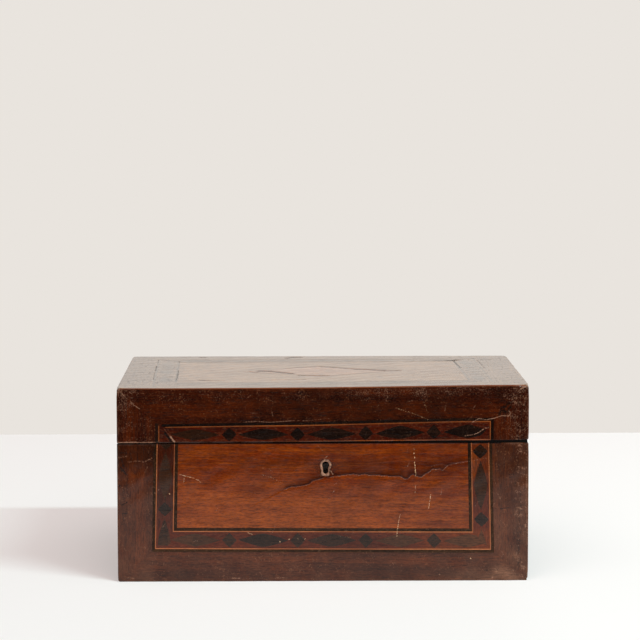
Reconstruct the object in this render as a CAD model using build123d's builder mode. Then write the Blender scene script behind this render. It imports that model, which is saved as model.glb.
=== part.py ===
from build123d import *
import math
import os

# A veneered mahogany letter box. Its front and lid carry a frame of ebony and boxwood lines with a
# band of lozenges and diamonds between them. The box was glued up closed and then sawn apart, so the
# frame on its front runs across the saw cut.
#
# Origin: middle of the underside. +X to the right, +Y to the back (the hinges), +Z up. Millimetres.

os.makedirs("parts", exist_ok=True)

# ---------------------------------------------------------------------------------------------
# Driving dimensions
# ---------------------------------------------------------------------------------------------

# The box
box_width = 350.0
box_depth = 233.0
base_height = 118.8
saw_gap = 0.4
lid_height = 49.1

# Carcase, veneer and lining
wall_board = 10.0
floor_board = 8.0
top_board = 8.0
veneer = 1.2
lining = 0.4
lining_margin = 1.0  # bare wood left above the lining at the rim
tail_slope = 1 / 6
base_tail_count = 4
lid_tail_count = 2
tail_share = 0.3  # half a tail's root, as a share of the spacing of the tails
widest_tail = 0.48  # half a tail's wide end is at most this share of the spacing

# Worn edges
arris_radius = 0.9
seam_wear = 0.5

# Inlaid frame on the front
side_border = 30.0
bottom_border = 24.9
outer_ebony = 2.1
outer_boxwood = 1.2
band_width = 14.0
inner_boxwood = 1.4
inner_ebony = 2.3
lid_edge_boxwood = 1.2

# Inlaid frame on the top of the lid
top_side_border = 28.5
top_front_border = 18.0
top_back_border = 27.0
rhombus_half_length = 67.0
rhombus_half_depth = 34.0
rhombus_line = 1.8

# Lozenges and diamonds in the band
pattern_pitch = 57.9
lozenge_length = 42.0
lozenge_margin = 1.0  # ground left above and below a lozenge
lozenge_swell = 0.15
diamond_margin = 1.0
diamond_swell = 0.05
pattern_start = 36.5  # from the frame's left edge to its first lozenge
left_diamond_rise = 37.0  # from the frame's lower edge to its first upright diamond
right_diamond_rise = 28.6
smallest_offcut = 2.0  # a leaf that a cut would leave shorter than this is left out
inlay_fit = 0.05  # glue line around an inlay
mitre_joint = 0.04  # glue line between two mitred strips

# Keyhole, escutcheon and key pin
lock_offset = 2.2
key_drop = 18.8  # from the rim of the base to the key pin
keyhole_radius = 3.05
keyhole_slot_width = 4.4
keyhole_slot_drop = 7.7
escutcheon_rim = 1.9
escutcheon_depth = 3.0
key_pin_radius = 1.35
key_pin_recess = 2.5

# Lock
lock_width = 60.0
lock_height = 31.0
lock_flange = 6.0
lock_plate = 1.2
selvedge = 1.5
selvedge_width = 7.6
bolt_thickness = 3.2
bolt_play = 0.3
hook_spread = 14.0
hook_thickness = 2.6
hook_stem = 3.0
hook_drop = 9.6
toe_length = 3.5
toe_height = 2.4
toe_room = 0.8  # between a toe and the end of the bolt's finger, unlocked
stem_room = 0.3  # between the finger and the hook's stem, locked
finger_gap = 0.4
finger_height = 3.2
finger_arm = 3.0
spine_height = 4.6
spine_gap = 1.0
spine_end = 3.0
talon_width = 5.0
talon_height = 2.2
hook_side_room = 0.6
link_plate_length = 60.0
spring_thickness = 0.6
spring_width = 3.0
spring_foot = 4.0
spring_reach = 14.0

# Hinges
hinge_spacing = 190.0
hinge_length = 38.0
hinge_setback = 3.4  # from the back face to the pin's axis
hinge_leaf = 1.2
knuckle_radius = 2.0
knuckle_count = 5
knuckle_gap = 0.2
knuckle_room = 0.3
hinge_pin_radius = 0.9
pin_running_fit = 0.05
leaf_margin = 0.2  # bare wood between a leaf and the inside of the box
lid_opening = 100.0  # degrees
stop_allowance = 4.0  # degrees: the bevels meet a little past the stated opening

# Screws
screw_head_radius = 1.7
screw_shank_radius = 1.0
screw_length = 8.0
screw_tip = 2.0
screw_slot = 0.4
screw_fit = 0.05
hinge_screw_spread = 12.0
lock_screw_inset = 3.0  # from the end of a lock plate to its screw
link_screw_inset = 4.0
flange_screw_rise = 5.0

# For the cutters and selectors
overrun = 1.5  # how far a cutter runs past what it cuts
nearness = 0.01  # two places closer than this are the same

# ---------------------------------------------------------------------------------------------
# Levels and places that follow from them
# ---------------------------------------------------------------------------------------------

half_width = box_width / 2
half_depth = box_depth / 2
seam_z = base_height + saw_gap / 2
lid_bottom = base_height + saw_gap
lid_top = lid_bottom + lid_height
board_top = lid_top - veneer
rail_top = board_top - top_board

carcase_x = half_width - veneer  # outside of the carcase
carcase_y = half_depth - veneer
inside_x = carcase_x - wall_board  # inside of the carcase
inside_y = carcase_y - wall_board

front_face = Plane.XZ.offset(carcase_y)  # back of the front veneer, looking out of the box
top_face = Plane.XY.offset(board_top)


def save(piece, name):
    """Label one finished piece and write it to its own file."""
    piece.part.label = name
    export_step(piece.part, f"parts/{name}.step")


# ---------------------------------------------------------------------------------------------
# Shared cutters: the V behind the hinges and the worn edges along the saw cut
# ---------------------------------------------------------------------------------------------

axis_y = half_depth - hinge_setback
bevel_angle = (lid_opening - stop_allowance) / 2
bevel_start = axis_y - knuckle_room
bevel_end = half_depth + overrun
bevel_rise = (bevel_end - bevel_start) * math.tan(math.radians(bevel_angle))

with BuildPart() as back_bevels:
    with BuildSketch(Plane.YZ.offset(-half_width - overrun)):
        Polygon(
            (bevel_start, base_height),
            (bevel_end, base_height - bevel_rise),
            (bevel_end, lid_bottom + bevel_rise),
            (bevel_start, lid_bottom),
            align=None,
        )
    extrude(amount=box_width + 2 * overrun)

with BuildPart() as seam_easing:
    with BuildSketch(Plane.YZ.offset(-half_width - overrun)):
        Polygon(
            (-half_depth, base_height - seam_wear),
            (-half_depth + seam_wear, base_height),
            (-half_depth + seam_wear, lid_bottom),
            (-half_depth, lid_bottom + seam_wear),
            align=None,
        )
    extrude(amount=box_width + 2 * overrun)


# ---------------------------------------------------------------------------------------------
# Carcase
# ---------------------------------------------------------------------------------------------


def tail_outlines(root_y, end_y, low, high, count):
    """Corner points of the dovetails on one end of a side board, which widen towards end_y."""
    spacing = (high - low) / count
    root = tail_share * spacing
    end = min(root + tail_slope * abs(end_y - root_y), widest_tail * spacing)
    outlines = []
    for i in range(count):
        middle = low + (i + 0.5) * spacing
        outlines.append(
            [
                (root_y, middle - root),
                (end_y, middle - end),
                (end_y, middle + end),
                (root_y, middle + root),
            ]
        )
    return outlines


def dovetails(board_x, sign, low, high, count):
    """The tails of one side board, sign -1 at its front end and +1 at its back end."""
    with BuildPart() as tails:
        with BuildSketch(Plane.YZ.offset(board_x)):
            for outline in tail_outlines(sign * inside_y, sign * carcase_y, low, high, count):
                Polygon(*outline, align=None)
        extrude(amount=wall_board)
    return tails.part


def side_board(board_x, low, high, count):
    """A side board: a plain board between the front and back ones, with tails into both."""
    with BuildPart() as side:
        with BuildSketch(Plane.YZ.offset(board_x)):
            with Locations((0, (low + high) / 2)):
                Rectangle(2 * inside_y, high - low)
        extrude(amount=wall_board)
        add(dovetails(board_x, -1, low, high, count))
        add(dovetails(board_x, 1, low, high, count))
        add(back_bevels.part, mode=Mode.SUBTRACT)
    return side


def end_board(sign, low, high, count):
    """The front (-1) or back (+1) board, full width, cut out for both side boards' tails."""
    with BuildPart() as end:
        with BuildSketch(Plane.XZ.offset(-sign * (inside_y + wall_board / 2))):
            with Locations((0, (low + high) / 2)):
                Rectangle(2 * carcase_x, high - low)
        extrude(amount=wall_board / 2, both=True)
        add(dovetails(-carcase_x, sign, low, high, count), mode=Mode.SUBTRACT)
        add(dovetails(inside_x, sign, low, high, count), mode=Mode.SUBTRACT)
        add(back_bevels.part, mode=Mode.SUBTRACT)
    return end


base_levels = (floor_board, base_height, base_tail_count)
lid_levels = (lid_bottom, rail_top, lid_tail_count)

for name, levels in (("base_{}_board", base_levels), ("lid_{}_rail", lid_levels)):
    save(side_board(-carcase_x, *levels), name.format("left"))
    save(side_board(inside_x, *levels), name.format("right"))

with BuildPart() as base_bottom_board:
    with BuildSketch(Plane.XY):
        Rectangle(2 * carcase_x, 2 * carcase_y)
    extrude(amount=floor_board)
save(base_bottom_board, "base_bottom_board")

with BuildPart() as lid_top_board:
    with BuildSketch(Plane.XY.offset(rail_top)):
        Rectangle(2 * carcase_x, 2 * carcase_y)
    extrude(amount=top_board)
save(lid_top_board, "lid_top_board")

# ---------------------------------------------------------------------------------------------
# Screws: one wood screw, its head flush with z = 0 and its point below
# ---------------------------------------------------------------------------------------------

head_drop = screw_head_radius - screw_shank_radius

with BuildPart() as screw:
    with BuildSketch(Plane.XZ):
        Polygon(
            (0, 0),
            (screw_head_radius, 0),
            (screw_shank_radius, -head_drop),
            (screw_shank_radius, -screw_length + screw_tip),
            (0, -screw_length),
            align=None,
        )
    revolve(axis=Axis.Z)
    Box(3 * screw_head_radius, screw_slot, screw_slot * 2, mode=Mode.SUBTRACT)

with BuildPart() as screw_hole:
    with BuildSketch(Plane.XZ):
        Polygon(
            (0, 0),
            (screw_head_radius + screw_fit, 0),
            (screw_shank_radius + screw_fit, -head_drop),
            (screw_shank_radius + screw_fit, -screw_length - screw_fit),
            (0, -screw_length - screw_fit),
            align=None,
        )
    revolve(axis=Axis.Z)


def screws_at(places):
    """A set of screws, one at each place, turned as the place says."""
    with BuildPart() as group:
        with Locations(*places):
            add(screw.part)
    return group


def screw_holes_at(places):
    """The holes for the screws at these places, countersunk for their heads."""
    with BuildPart() as group:
        with Locations(*places):
            add(screw_hole.part)
    return group.part


HEAD_UP = (0, 0, 0)
HEAD_DOWN = (180, 0, 0)
HEAD_INWARD = (-90, 0, 0)  # driven forwards from inside the box, into the front board

# ---------------------------------------------------------------------------------------------
# Hinges
# ---------------------------------------------------------------------------------------------

leaf_reach = wall_board + veneer - hinge_setback - leaf_margin
leaf_screw_y = axis_y - (knuckle_radius + leaf_reach) / 2
knuckle_length = hinge_length / knuckle_count
hinge_places = (("left", -hinge_spacing / 2), ("right", hinge_spacing / 2))
hinge_screw_xs = [x + s * hinge_screw_spread for _, x in hinge_places for s in (-1, 1)]
base_hinge_screw_places = [
    Location((x, leaf_screw_y, base_height), HEAD_UP) for x in hinge_screw_xs
]
lid_hinge_screw_places = [
    Location((x, leaf_screw_y, lid_bottom), HEAD_DOWN) for x in hinge_screw_xs
]


def hinge_rod(start_x, length, radius):
    """A cylinder on the hinge axis, from start_x to the right."""
    with BuildPart() as rod:
        with BuildSketch(Plane.YZ.offset(start_x)):
            with Locations((axis_y, seam_z)):
                Circle(radius)
        extrude(amount=length)
    return rod.part


def hinge_leaf_at(middle_x, plate_bottom, first_knuckle, screw_places):
    """One leaf: a plate reaching in from the axis, and every second knuckle of the barrel."""
    start_x = middle_x - hinge_length / 2
    with BuildPart() as leaf:
        with BuildSketch(Plane.XY.offset(plate_bottom)):
            with Locations((middle_x, axis_y - leaf_reach / 2)):
                Rectangle(hinge_length, leaf_reach)
        extrude(amount=hinge_leaf)
        for i in range(knuckle_count):
            knuckle_x = start_x + i * knuckle_length
            if i % 2 == first_knuckle:
                own = hinge_rod(
                    knuckle_x + knuckle_gap / 2, knuckle_length - knuckle_gap, knuckle_radius
                )
                add(own)
            else:
                other = hinge_rod(
                    knuckle_x - knuckle_gap / 2,
                    knuckle_length + knuckle_gap,
                    knuckle_radius + knuckle_room,
                )
                add(other, mode=Mode.SUBTRACT)
        bore = hinge_rod(start_x, hinge_length, hinge_pin_radius + pin_running_fit)
        add(bore, mode=Mode.SUBTRACT)
        add(screw_holes_at(screw_places), mode=Mode.SUBTRACT)
    return leaf


for side, middle_x in hinge_places:
    lower_leaf = hinge_leaf_at(
        middle_x, base_height - hinge_leaf, 0, base_hinge_screw_places
    )
    save(lower_leaf, f"hinge_{side}_lower_leaf")
    upper_leaf = hinge_leaf_at(middle_x, lid_bottom, 1, lid_hinge_screw_places)
    save(upper_leaf, f"hinge_{side}_upper_leaf")

with BuildPart() as hinge_pins:
    for _, middle_x in hinge_places:
        add(hinge_rod(middle_x - hinge_length / 2, hinge_length, hinge_pin_radius))
save(hinge_pins, "hinge_pins")
save(screws_at(base_hinge_screw_places), "base_hinge_screws")
save(screws_at(lid_hinge_screw_places), "lid_hinge_screws")

with BuildPart() as hinge_housings:
    for _, middle_x in hinge_places:
        with BuildSketch(Plane.XY.offset(base_height - hinge_leaf)):
            with Locations((middle_x, axis_y - leaf_reach / 2)):
                Rectangle(hinge_length, leaf_reach)
        extrude(amount=saw_gap + 2 * hinge_leaf)
        add(hinge_rod(middle_x - hinge_length / 2, hinge_length, knuckle_radius + knuckle_room))

with BuildPart() as base_back_board:
    add(end_board(1, *base_levels).part)
    add(hinge_housings.part, mode=Mode.SUBTRACT)
    add(screw_holes_at(base_hinge_screw_places), mode=Mode.SUBTRACT)
save(base_back_board, "base_back_board")

with BuildPart() as lid_back_rail:
    add(end_board(1, *lid_levels).part)
    add(hinge_housings.part, mode=Mode.SUBTRACT)
    add(screw_holes_at(lid_hinge_screw_places), mode=Mode.SUBTRACT)
save(lid_back_rail, "lid_back_rail")

# ---------------------------------------------------------------------------------------------
# Lock: a box lock let into the front board, and the link plate whose hooks it holds
# ---------------------------------------------------------------------------------------------

key_z = base_height - key_drop
lock_face_y = -inside_y  # the lock's plate is flush with the inside of the front board
cavity_depth = bolt_thickness + 2 * bolt_play
lock_depth = cavity_depth + 2 * lock_plate
bolt_y = lock_face_y - lock_plate - cavity_depth / 2
lock_bottom = base_height - lock_height
case_top = base_height - selvedge
plate_length = lock_width + 2 * lock_flange
selvedge_y = lock_face_y - selvedge_width / 2
hook_bottom = lid_bottom - hook_drop
finger_bottom = hook_bottom + toe_height + finger_gap
spine_top = hook_bottom - spine_gap
spine_bottom = spine_top - spine_height
bolt_travel = toe_length + toe_room - stem_room
hook_xs = (lock_offset - hook_spread, lock_offset + hook_spread)
lock_screw_xs = [lock_offset + s * (plate_length / 2 - lock_screw_inset) for s in (-1, 1)]
link_screw_xs = [lock_offset + s * (link_plate_length / 2 - link_screw_inset) for s in (-1, 1)]
selvedge_screw_places = [Location((x, selvedge_y, base_height), HEAD_UP) for x in lock_screw_xs]
flange_screw_z = lock_bottom + flange_screw_rise
flange_screw_places = [Location((x, lock_face_y, flange_screw_z), HEAD_INWARD) for x in lock_screw_xs]
link_screw_places = [Location((x, selvedge_y, lid_bottom), HEAD_DOWN) for x in link_screw_xs]


def lock_block(length, low, high, front_y, back_y):
    """A plain block centred on the lock, between two heights and two depths."""
    with BuildPart() as block:
        with BuildSketch(Plane.XY.offset(low)):
            with Locations((lock_offset, (front_y + back_y) / 2)):
                Rectangle(length, back_y - front_y)
        extrude(amount=high - low)
    return block.part


def keyhole(margin, front_y, back_y):
    """The keyhole's round eye and its slot, grown by a margin, as a solid between two depths."""
    slot_half = keyhole_slot_width / 2
    with BuildPart() as eye:
        with BuildSketch(Plane.XZ.offset(-back_y)):
            with Locations((lock_offset, key_z)):
                Circle(keyhole_radius + margin)
            with Locations((lock_offset, key_z - keyhole_slot_drop + slot_half)):
                Circle(slot_half + margin)
            with Locations((lock_offset, key_z - (keyhole_slot_drop - slot_half) / 2)):
                Rectangle(keyhole_slot_width + 2 * margin, keyhole_slot_drop - slot_half)
        extrude(amount=back_y - front_y)
    return eye.part


through_wall = (-half_depth - overrun, lock_face_y + overrun)
case_back_y = lock_face_y - lock_plate
case_front_y = lock_face_y - lock_depth

with BuildPart() as lock_case:
    add(lock_block(plate_length, lock_bottom, case_top, case_back_y, lock_face_y))
    add(lock_block(lock_width, lock_bottom, case_top, case_front_y, case_back_y))
    cavity = lock_block(
        lock_width - 2 * lock_plate,
        lock_bottom + lock_plate,
        case_top,
        case_front_y + lock_plate,
        case_back_y,
    )
    add(cavity, mode=Mode.SUBTRACT)
    add(keyhole(0, case_front_y - overrun, bolt_y), mode=Mode.SUBTRACT)
    add(screw_holes_at(flange_screw_places), mode=Mode.SUBTRACT)
save(lock_case, "lock_case")

with BuildPart() as lock_selvedge_plate:
    add(lock_block(plate_length, case_top, base_height, lock_face_y - selvedge_width, lock_face_y))
    with BuildSketch(Plane.XY.offset(case_top)):
        for hook_x in hook_xs:
            slot_length = toe_length + hook_stem + 2 * hook_side_room
            with Locations((hook_x + (hook_stem - toe_length) / 2, bolt_y)):
                Rectangle(slot_length, hook_thickness + 2 * hook_side_room)
    extrude(amount=selvedge, mode=Mode.SUBTRACT)
    add(screw_holes_at(selvedge_screw_places), mode=Mode.SUBTRACT)
save(lock_selvedge_plate, "lock_selvedge_plate")

with BuildPart() as lock_key_pin:
    with BuildSketch(Plane.XZ.offset(-case_back_y)):
        with Locations((lock_offset, key_z)):
            Circle(key_pin_radius)
    extrude(amount=case_back_y + half_depth - key_pin_recess)
save(lock_key_pin, "lock_key_pin")

with BuildPart() as lock_bolt:
    with BuildSketch(Plane.XZ.offset(-bolt_y)):
        arm_xs = []
        for hook_x in hook_xs:
            finger_end = hook_x - toe_length - toe_room
            arm_end = finger_end - bolt_travel + toe_room - finger_gap
            arm_xs.append(arm_end - finger_arm)
            with Locations((arm_end - finger_arm, spine_bottom)):
                Rectangle(
                    finger_arm,
                    finger_bottom + finger_height - spine_bottom,
                    align=(Align.MIN, Align.MIN),
                )
            with Locations((arm_end - finger_arm, finger_bottom)):
                Rectangle(
                    finger_end - arm_end + finger_arm,
                    finger_height,
                    align=(Align.MIN, Align.MIN),
                )
        with Locations((arm_xs[0] - spine_end, spine_bottom)):
            Rectangle(
                arm_xs[1] - arm_xs[0] + finger_arm + 2 * spine_end,
                spine_height,
                align=(Align.MIN, Align.MIN),
            )
        with Locations((lock_offset - bolt_travel / 2, spine_bottom)):
            Rectangle(
                talon_width,
                talon_height,
                align=(Align.CENTER, Align.MIN),
                mode=Mode.SUBTRACT,
            )
    extrude(amount=bolt_thickness / 2, both=True)
save(lock_bolt, "lock_bolt")

spring_wall_x = lock_offset - lock_width / 2 + lock_plate
spring_floor = lock_bottom + lock_plate
spring_top = spine_bottom - bolt_play
with BuildPart() as lock_spring:
    with BuildSketch(Plane.XZ.offset(-bolt_y)):
        Polygon(
            (spring_wall_x, spring_floor),
            (spring_wall_x + spring_thickness, spring_floor),
            (spring_wall_x + spring_thickness, spring_floor + spring_foot),
            (spring_wall_x + spring_reach, spring_top - spring_thickness),
            (spring_wall_x + spring_reach, spring_top),
            (spring_wall_x, spring_floor + spring_foot + spring_thickness),
            align=None,
        )
    extrude(amount=spring_width / 2, both=True)
save(lock_spring, "lock_spring")

save(screws_at(selvedge_screw_places + flange_screw_places), "lock_screws")

with BuildPart() as keyhole_escutcheon:
    add(keyhole(escutcheon_rim, -half_depth, -half_depth + escutcheon_depth))
    add(keyhole(0, *through_wall), mode=Mode.SUBTRACT)
save(keyhole_escutcheon, "keyhole_escutcheon")

escutcheon_seat = keyhole(
    escutcheon_rim + inlay_fit, -half_depth - overrun, -half_depth + escutcheon_depth
)

with BuildPart() as base_front_board:
    add(end_board(-1, *base_levels).part)
    for block in (
        lock_block(plate_length, lock_bottom, case_top, case_back_y, lock_face_y),
        lock_block(lock_width, lock_bottom, case_top, case_front_y, case_back_y),
        lock_block(plate_length, case_top, base_height, lock_face_y - selvedge_width, lock_face_y),
        keyhole(0, *through_wall),
        escutcheon_seat,
        screw_holes_at(selvedge_screw_places + flange_screw_places),
    ):
        add(block, mode=Mode.SUBTRACT)
save(base_front_board, "base_front_board")

link_top = lid_bottom + selvedge
link_plate_block = lock_block(
    link_plate_length, lid_bottom, link_top, lock_face_y - selvedge_width, lock_face_y
)

with BuildPart() as lock_link_plate:
    add(link_plate_block)
    with BuildSketch(Plane.XZ.offset(-bolt_y)):
        for hook_x in hook_xs:
            with Locations((hook_x, hook_bottom)):
                Rectangle(hook_stem, hook_drop, align=(Align.MIN, Align.MIN))
            with Locations((hook_x - toe_length, hook_bottom)):
                Rectangle(toe_length + hook_stem, toe_height, align=(Align.MIN, Align.MIN))
    extrude(amount=hook_thickness / 2, both=True)
    add(screw_holes_at(link_screw_places), mode=Mode.SUBTRACT)
save(lock_link_plate, "lock_link_plate")
save(screws_at(link_screw_places), "link_plate_screws")

with BuildPart() as lid_front_rail:
    add(end_board(-1, *lid_levels).part)
    add(link_plate_block, mode=Mode.SUBTRACT)
    add(screw_holes_at(link_screw_places), mode=Mode.SUBTRACT)
save(lid_front_rail, "lid_front_rail")

# ---------------------------------------------------------------------------------------------
# Lining paper: four walls and a floor in the base, four walls and a ceiling in the lid
# ---------------------------------------------------------------------------------------------


def lining_sheets(sheet_low, sheet_high, wall_low, wall_high):
    """One flat sheet between sheet_low and sheet_high, and walls between the other two heights."""
    with BuildPart() as sheets:
        with BuildSketch(Plane.XY.offset(sheet_low)):
            Rectangle(2 * inside_x, 2 * inside_y)
        extrude(amount=sheet_high - sheet_low)
        with BuildSketch(Plane.XY.offset(wall_low)):
            Rectangle(2 * inside_x, 2 * inside_y)
            Rectangle(2 * (inside_x - lining), 2 * (inside_y - lining), mode=Mode.SUBTRACT)
        extrude(amount=wall_high - wall_low)
    return sheets


with BuildPart() as base_lining_paper:
    floor_top = floor_board + lining
    add(lining_sheets(floor_board, floor_top, floor_top, base_height - lining_margin).part)
    lock_window = lock_block(
        plate_length + 2 * lining,
        lock_bottom - lining,
        base_height,
        lock_face_y,
        lock_face_y + 2 * lining,
    )
    add(lock_window, mode=Mode.SUBTRACT)
save(base_lining_paper, "base_lining_paper")

lid_lining_paper = lining_sheets(
    rail_top - lining, rail_top, lid_bottom + lining_margin, rail_top - lining
)
save(lid_lining_paper, "lid_lining_paper")

# ---------------------------------------------------------------------------------------------
# Inlaid frames: nested rectangles (x0, y0, x1, y1), and the mitred strips between two of them
# ---------------------------------------------------------------------------------------------


def inset(rect, width):
    """The rectangle inside rect, width away from each of its sides."""
    return (rect[0] + width, rect[1] + width, rect[2] - width, rect[3] - width)


def nested(rect, widths):
    """Rect and the rectangles inside it, each the next width further in."""
    rects = [rect]
    for width in widths:
        rects.append(inset(rects[-1], width))
    return rects


def cut_below(rects, height):
    """The same rectangles with their lower sides moved to one height, as a saw cut leaves them."""
    return [(r[0], height, r[2], r[3]) for r in rects]


def cut_above(rects, height):
    """The same rectangles with their upper sides moved to one height."""
    return [(r[0], r[1], r[2], height) for r in rects]


def mitred_strip(side, outer, inner):
    """Corner points of the strip between two rectangles along one side, mitred at its ends.

    Each end is drawn back by half a glue line, so that two strips meet without becoming one.
    """
    back = mitre_joint / 2
    upright = side in ("left", "right")
    column = 0 if side == "left" else 2
    row = 1 if side == "bottom" else 3
    if upright:
        low = [(outer[column], outer[1] + back), (inner[column], inner[1] + back)]
        high = [(inner[column], inner[3] - back), (outer[column], outer[3] - back)]
        return low + high
    near = [(outer[0] + back, outer[row]), (inner[0] + back, inner[row])]
    far = [(inner[2] - back, inner[row]), (outer[2] - back, outer[row])]
    return near + far


def strips(plane, outlines):
    """Strips of veneer standing on a plane, one solid for each outline."""
    with BuildPart() as group:
        for points in outlines:
            with BuildSketch(plane):
                Polygon(*points, align=None)
            extrude(amount=veneer)
    return group.part


def rectangle(plane, rect):
    """One rectangular leaf of veneer standing on a plane."""
    x0, y0, x1, y1 = rect
    return strips(plane, [[(x0, y0), (x1, y0), (x1, y1), (x0, y1)]])


frame_widths = (outer_ebony, outer_boxwood, band_width, inner_boxwood, inner_ebony)
lid_frame_height = outer_ebony + outer_boxwood + band_width + lid_edge_boxwood
frame_rect = (
    -half_width + side_border,
    bottom_border,
    half_width - side_border,
    lid_bottom + lid_frame_height,
)
face_rect = (-half_width, 0, half_width, board_top)
front_rects = nested(frame_rect, frame_widths)
base_face, lid_face = cut_above([face_rect], base_height)[0], cut_below([face_rect], lid_bottom)[0]
base_rects = cut_above(front_rects, base_height)
lid_rects = cut_below(front_rects, lid_bottom)
lid_edge_rect = (lid_rects[3][0], lid_bottom, lid_rects[3][2], lid_rects[3][3])

top_rect = (
    -half_width + top_side_border,
    -half_depth + top_front_border,
    half_width - top_side_border,
    half_depth - top_back_border,
)
top_rects = nested(top_rect, frame_widths)
top_outline = (-half_width, -half_depth, half_width, half_depth)

# ---------------------------------------------------------------------------------------------
# Lozenges and diamonds
# ---------------------------------------------------------------------------------------------


def leaf_outline(half_length, half_height, swell, fit):
    """A four-pointed leaf with slightly rounded sides, drawn fit smaller all round."""
    apothem = half_length * half_height / math.hypot(half_length, half_height)
    share = 1 - fit / apothem
    tips = [
        Vector(half_length, 0) * share,
        Vector(0, half_height) * share,
        Vector(-half_length, 0) * share,
        Vector(0, -half_height) * share,
    ]
    with BuildSketch() as outline:
        with BuildLine():
            for start, end in zip(tips, tips[1:] + tips[:1]):
                ThreePointArc(start, (start + end) * 0.5 * (1 + swell), end)
        make_face()
    return outline.sketch


def steps_up_to(first, limit):
    """Distances along a band, one pitch apart, from the first one to the limit."""
    count = max(0, math.ceil((limit - first) / pattern_pitch))
    return [first + i * pattern_pitch for i in range(count)]


def band_inlays(rects, side, first):
    """One band's strip, and the places of its lozenges and diamonds. First places a lozenge.

    A lozenge may run into a mitre, a diamond stops short of it, and the saw cuts through both.
    """
    outer, inner = rects[2], rects[3]
    middle = [(o + i) / 2 for o, i in zip(outer, inner)]
    upright = side in ("left", "right")
    sawn = upright and outer[3] == inner[3]
    start_x = {"left": middle[0], "right": middle[2]}.get(side, outer[0])
    start_y = {"bottom": middle[1], "top": middle[3]}.get(side, outer[1])
    length = outer[3] - outer[1] if upright else outer[2] - outer[0]
    mitre = 0 if sawn else band_width / 2
    lozenge_limit = length - mitre + lozenge_length / 2 - smallest_offcut
    diamond_reach = band_width / 2 - diamond_margin
    diamond_limit = length + diamond_reach - smallest_offcut if sawn else length - mitre - diamond_reach
    lozenges = steps_up_to(first, lozenge_limit)
    diamonds = steps_up_to(first + pattern_pitch / 2, diamond_limit)
    if upright:
        lozenge_places, diamond_places = [
            [Location((start_x, start_y + step, 0), (0, 0, 90)) for step in steps]
            for steps in (lozenges, diamonds)
        ]
    else:
        lozenge_places, diamond_places = [
            [Location((start_x + step, start_y, 0)) for step in steps]
            for steps in (lozenges, diamonds)
        ]
    return mitred_strip(side, outer, inner), lozenge_places, diamond_places


leaf_shapes = {
    "lozenge": (lozenge_length / 2, band_width / 2 - lozenge_margin, lozenge_swell),
    "diamond": (band_width / 2 - diamond_margin, band_width / 2 - diamond_margin, diamond_swell),
}


def leaves(plane, band, kind, fit):
    """All lozenges or all diamonds of one band, cut off where its strip ends."""
    strip, lozenges, diamonds = band
    places = lozenges if kind == "lozenge" else diamonds
    with BuildPart() as group:
        with BuildSketch(plane):
            with Locations(*places):
                add(leaf_outline(*leaf_shapes[kind], fit))
            Polygon(*strip, align=None, mode=Mode.INTERSECT)
        extrude(amount=veneer)
    return group.part


def band_ground(plane, band):
    """One strip of the ground, pierced for its lozenges and diamonds."""
    with BuildPart() as ground:
        add(strips(plane, [band[0]]))
        for kind in leaf_shapes:
            add(leaves(plane, band, kind, 0), mode=Mode.SUBTRACT)
    return ground.part


from_frame = outer_ebony + outer_boxwood  # from a frame's edge to its band
base_bands = {
    "left": band_inlays(base_rects, "left", left_diamond_rise - pattern_pitch / 2 - from_frame),
    "bottom": band_inlays(base_rects, "bottom", pattern_start - from_frame),
    "right": band_inlays(base_rects, "right", right_diamond_rise - pattern_pitch / 2 - from_frame),
}
lid_band = band_inlays(lid_rects, "top", pattern_start - from_frame)


def centred_first(length):
    """The first lozenge of a band that has one in its middle and as many on either side."""
    whole = (length - lozenge_length) / 2 // pattern_pitch
    return length / 2 - whole * pattern_pitch


top_band_rect = top_rects[2]
first_across = centred_first(top_band_rect[2] - top_band_rect[0])
first_along = centred_first(top_band_rect[3] - top_band_rect[1])
top_firsts = {"left": first_along, "bottom": first_across, "right": first_along, "top": first_across}
top_bands = {side: band_inlays(top_rects, side, first) for side, first in top_firsts.items()}

# ---------------------------------------------------------------------------------------------
# Veneers and inlay on the front of the base
# ---------------------------------------------------------------------------------------------


def is_near(first, second):
    """Whether two numbers are the same but for rounding."""
    return abs(first - second) < nearness


def outer_arrises(builder, face_y):
    """The upright edges of a veneer that stand on the box's corners at the front or back face."""
    return [
        e
        for e in builder.edges().filter_by(Axis.Z)
        if is_near(abs(e.center().X), half_width) and is_near(e.center().Y, face_y)
    ]


for side in ("left", "right", "bottom"):
    with BuildPart() as front_border:
        add(strips(front_face, [mitred_strip(side, base_face, base_rects[0])]))
        if side != "bottom":
            fillet(outer_arrises(front_border, -half_depth), arris_radius)
        add(seam_easing.part, mode=Mode.SUBTRACT)
    save(front_border, f"front_border_{side}")

for side, band in base_bands.items():
    with BuildPart() as front_band:
        add(band_ground(front_face, band))
        add(seam_easing.part, mode=Mode.SUBTRACT)
    save(front_band, f"front_band_{side}")

for kind in leaf_shapes:
    with BuildPart() as front_leaves:
        for band in base_bands.values():
            add(leaves(front_face, band, kind, inlay_fit))
        add(seam_easing.part, mode=Mode.SUBTRACT)
    save(front_leaves, f"front_{kind}s")

u_sides = ("left", "bottom", "right")
for stock, rings in (("ebony", ((0, 1), (4, 5))), ("boxwood", ((1, 2), (3, 4)))):
    with BuildPart() as front_lines:
        for outer, inner in rings:
            outlines = [mitred_strip(side, base_rects[outer], base_rects[inner]) for side in u_sides]
            add(strips(front_face, outlines))
        add(seam_easing.part, mode=Mode.SUBTRACT)
    save(front_lines, f"front_{stock}_lines")

with BuildPart() as front_panel:
    add(rectangle(front_face, base_rects[5]))
    add(escutcheon_seat, mode=Mode.SUBTRACT)
    add(seam_easing.part, mode=Mode.SUBTRACT)
save(front_panel, "front_panel")

# ---------------------------------------------------------------------------------------------
# Veneers and inlay on the front of the lid
# ---------------------------------------------------------------------------------------------

lid_sides = ("left", "top", "right")

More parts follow.
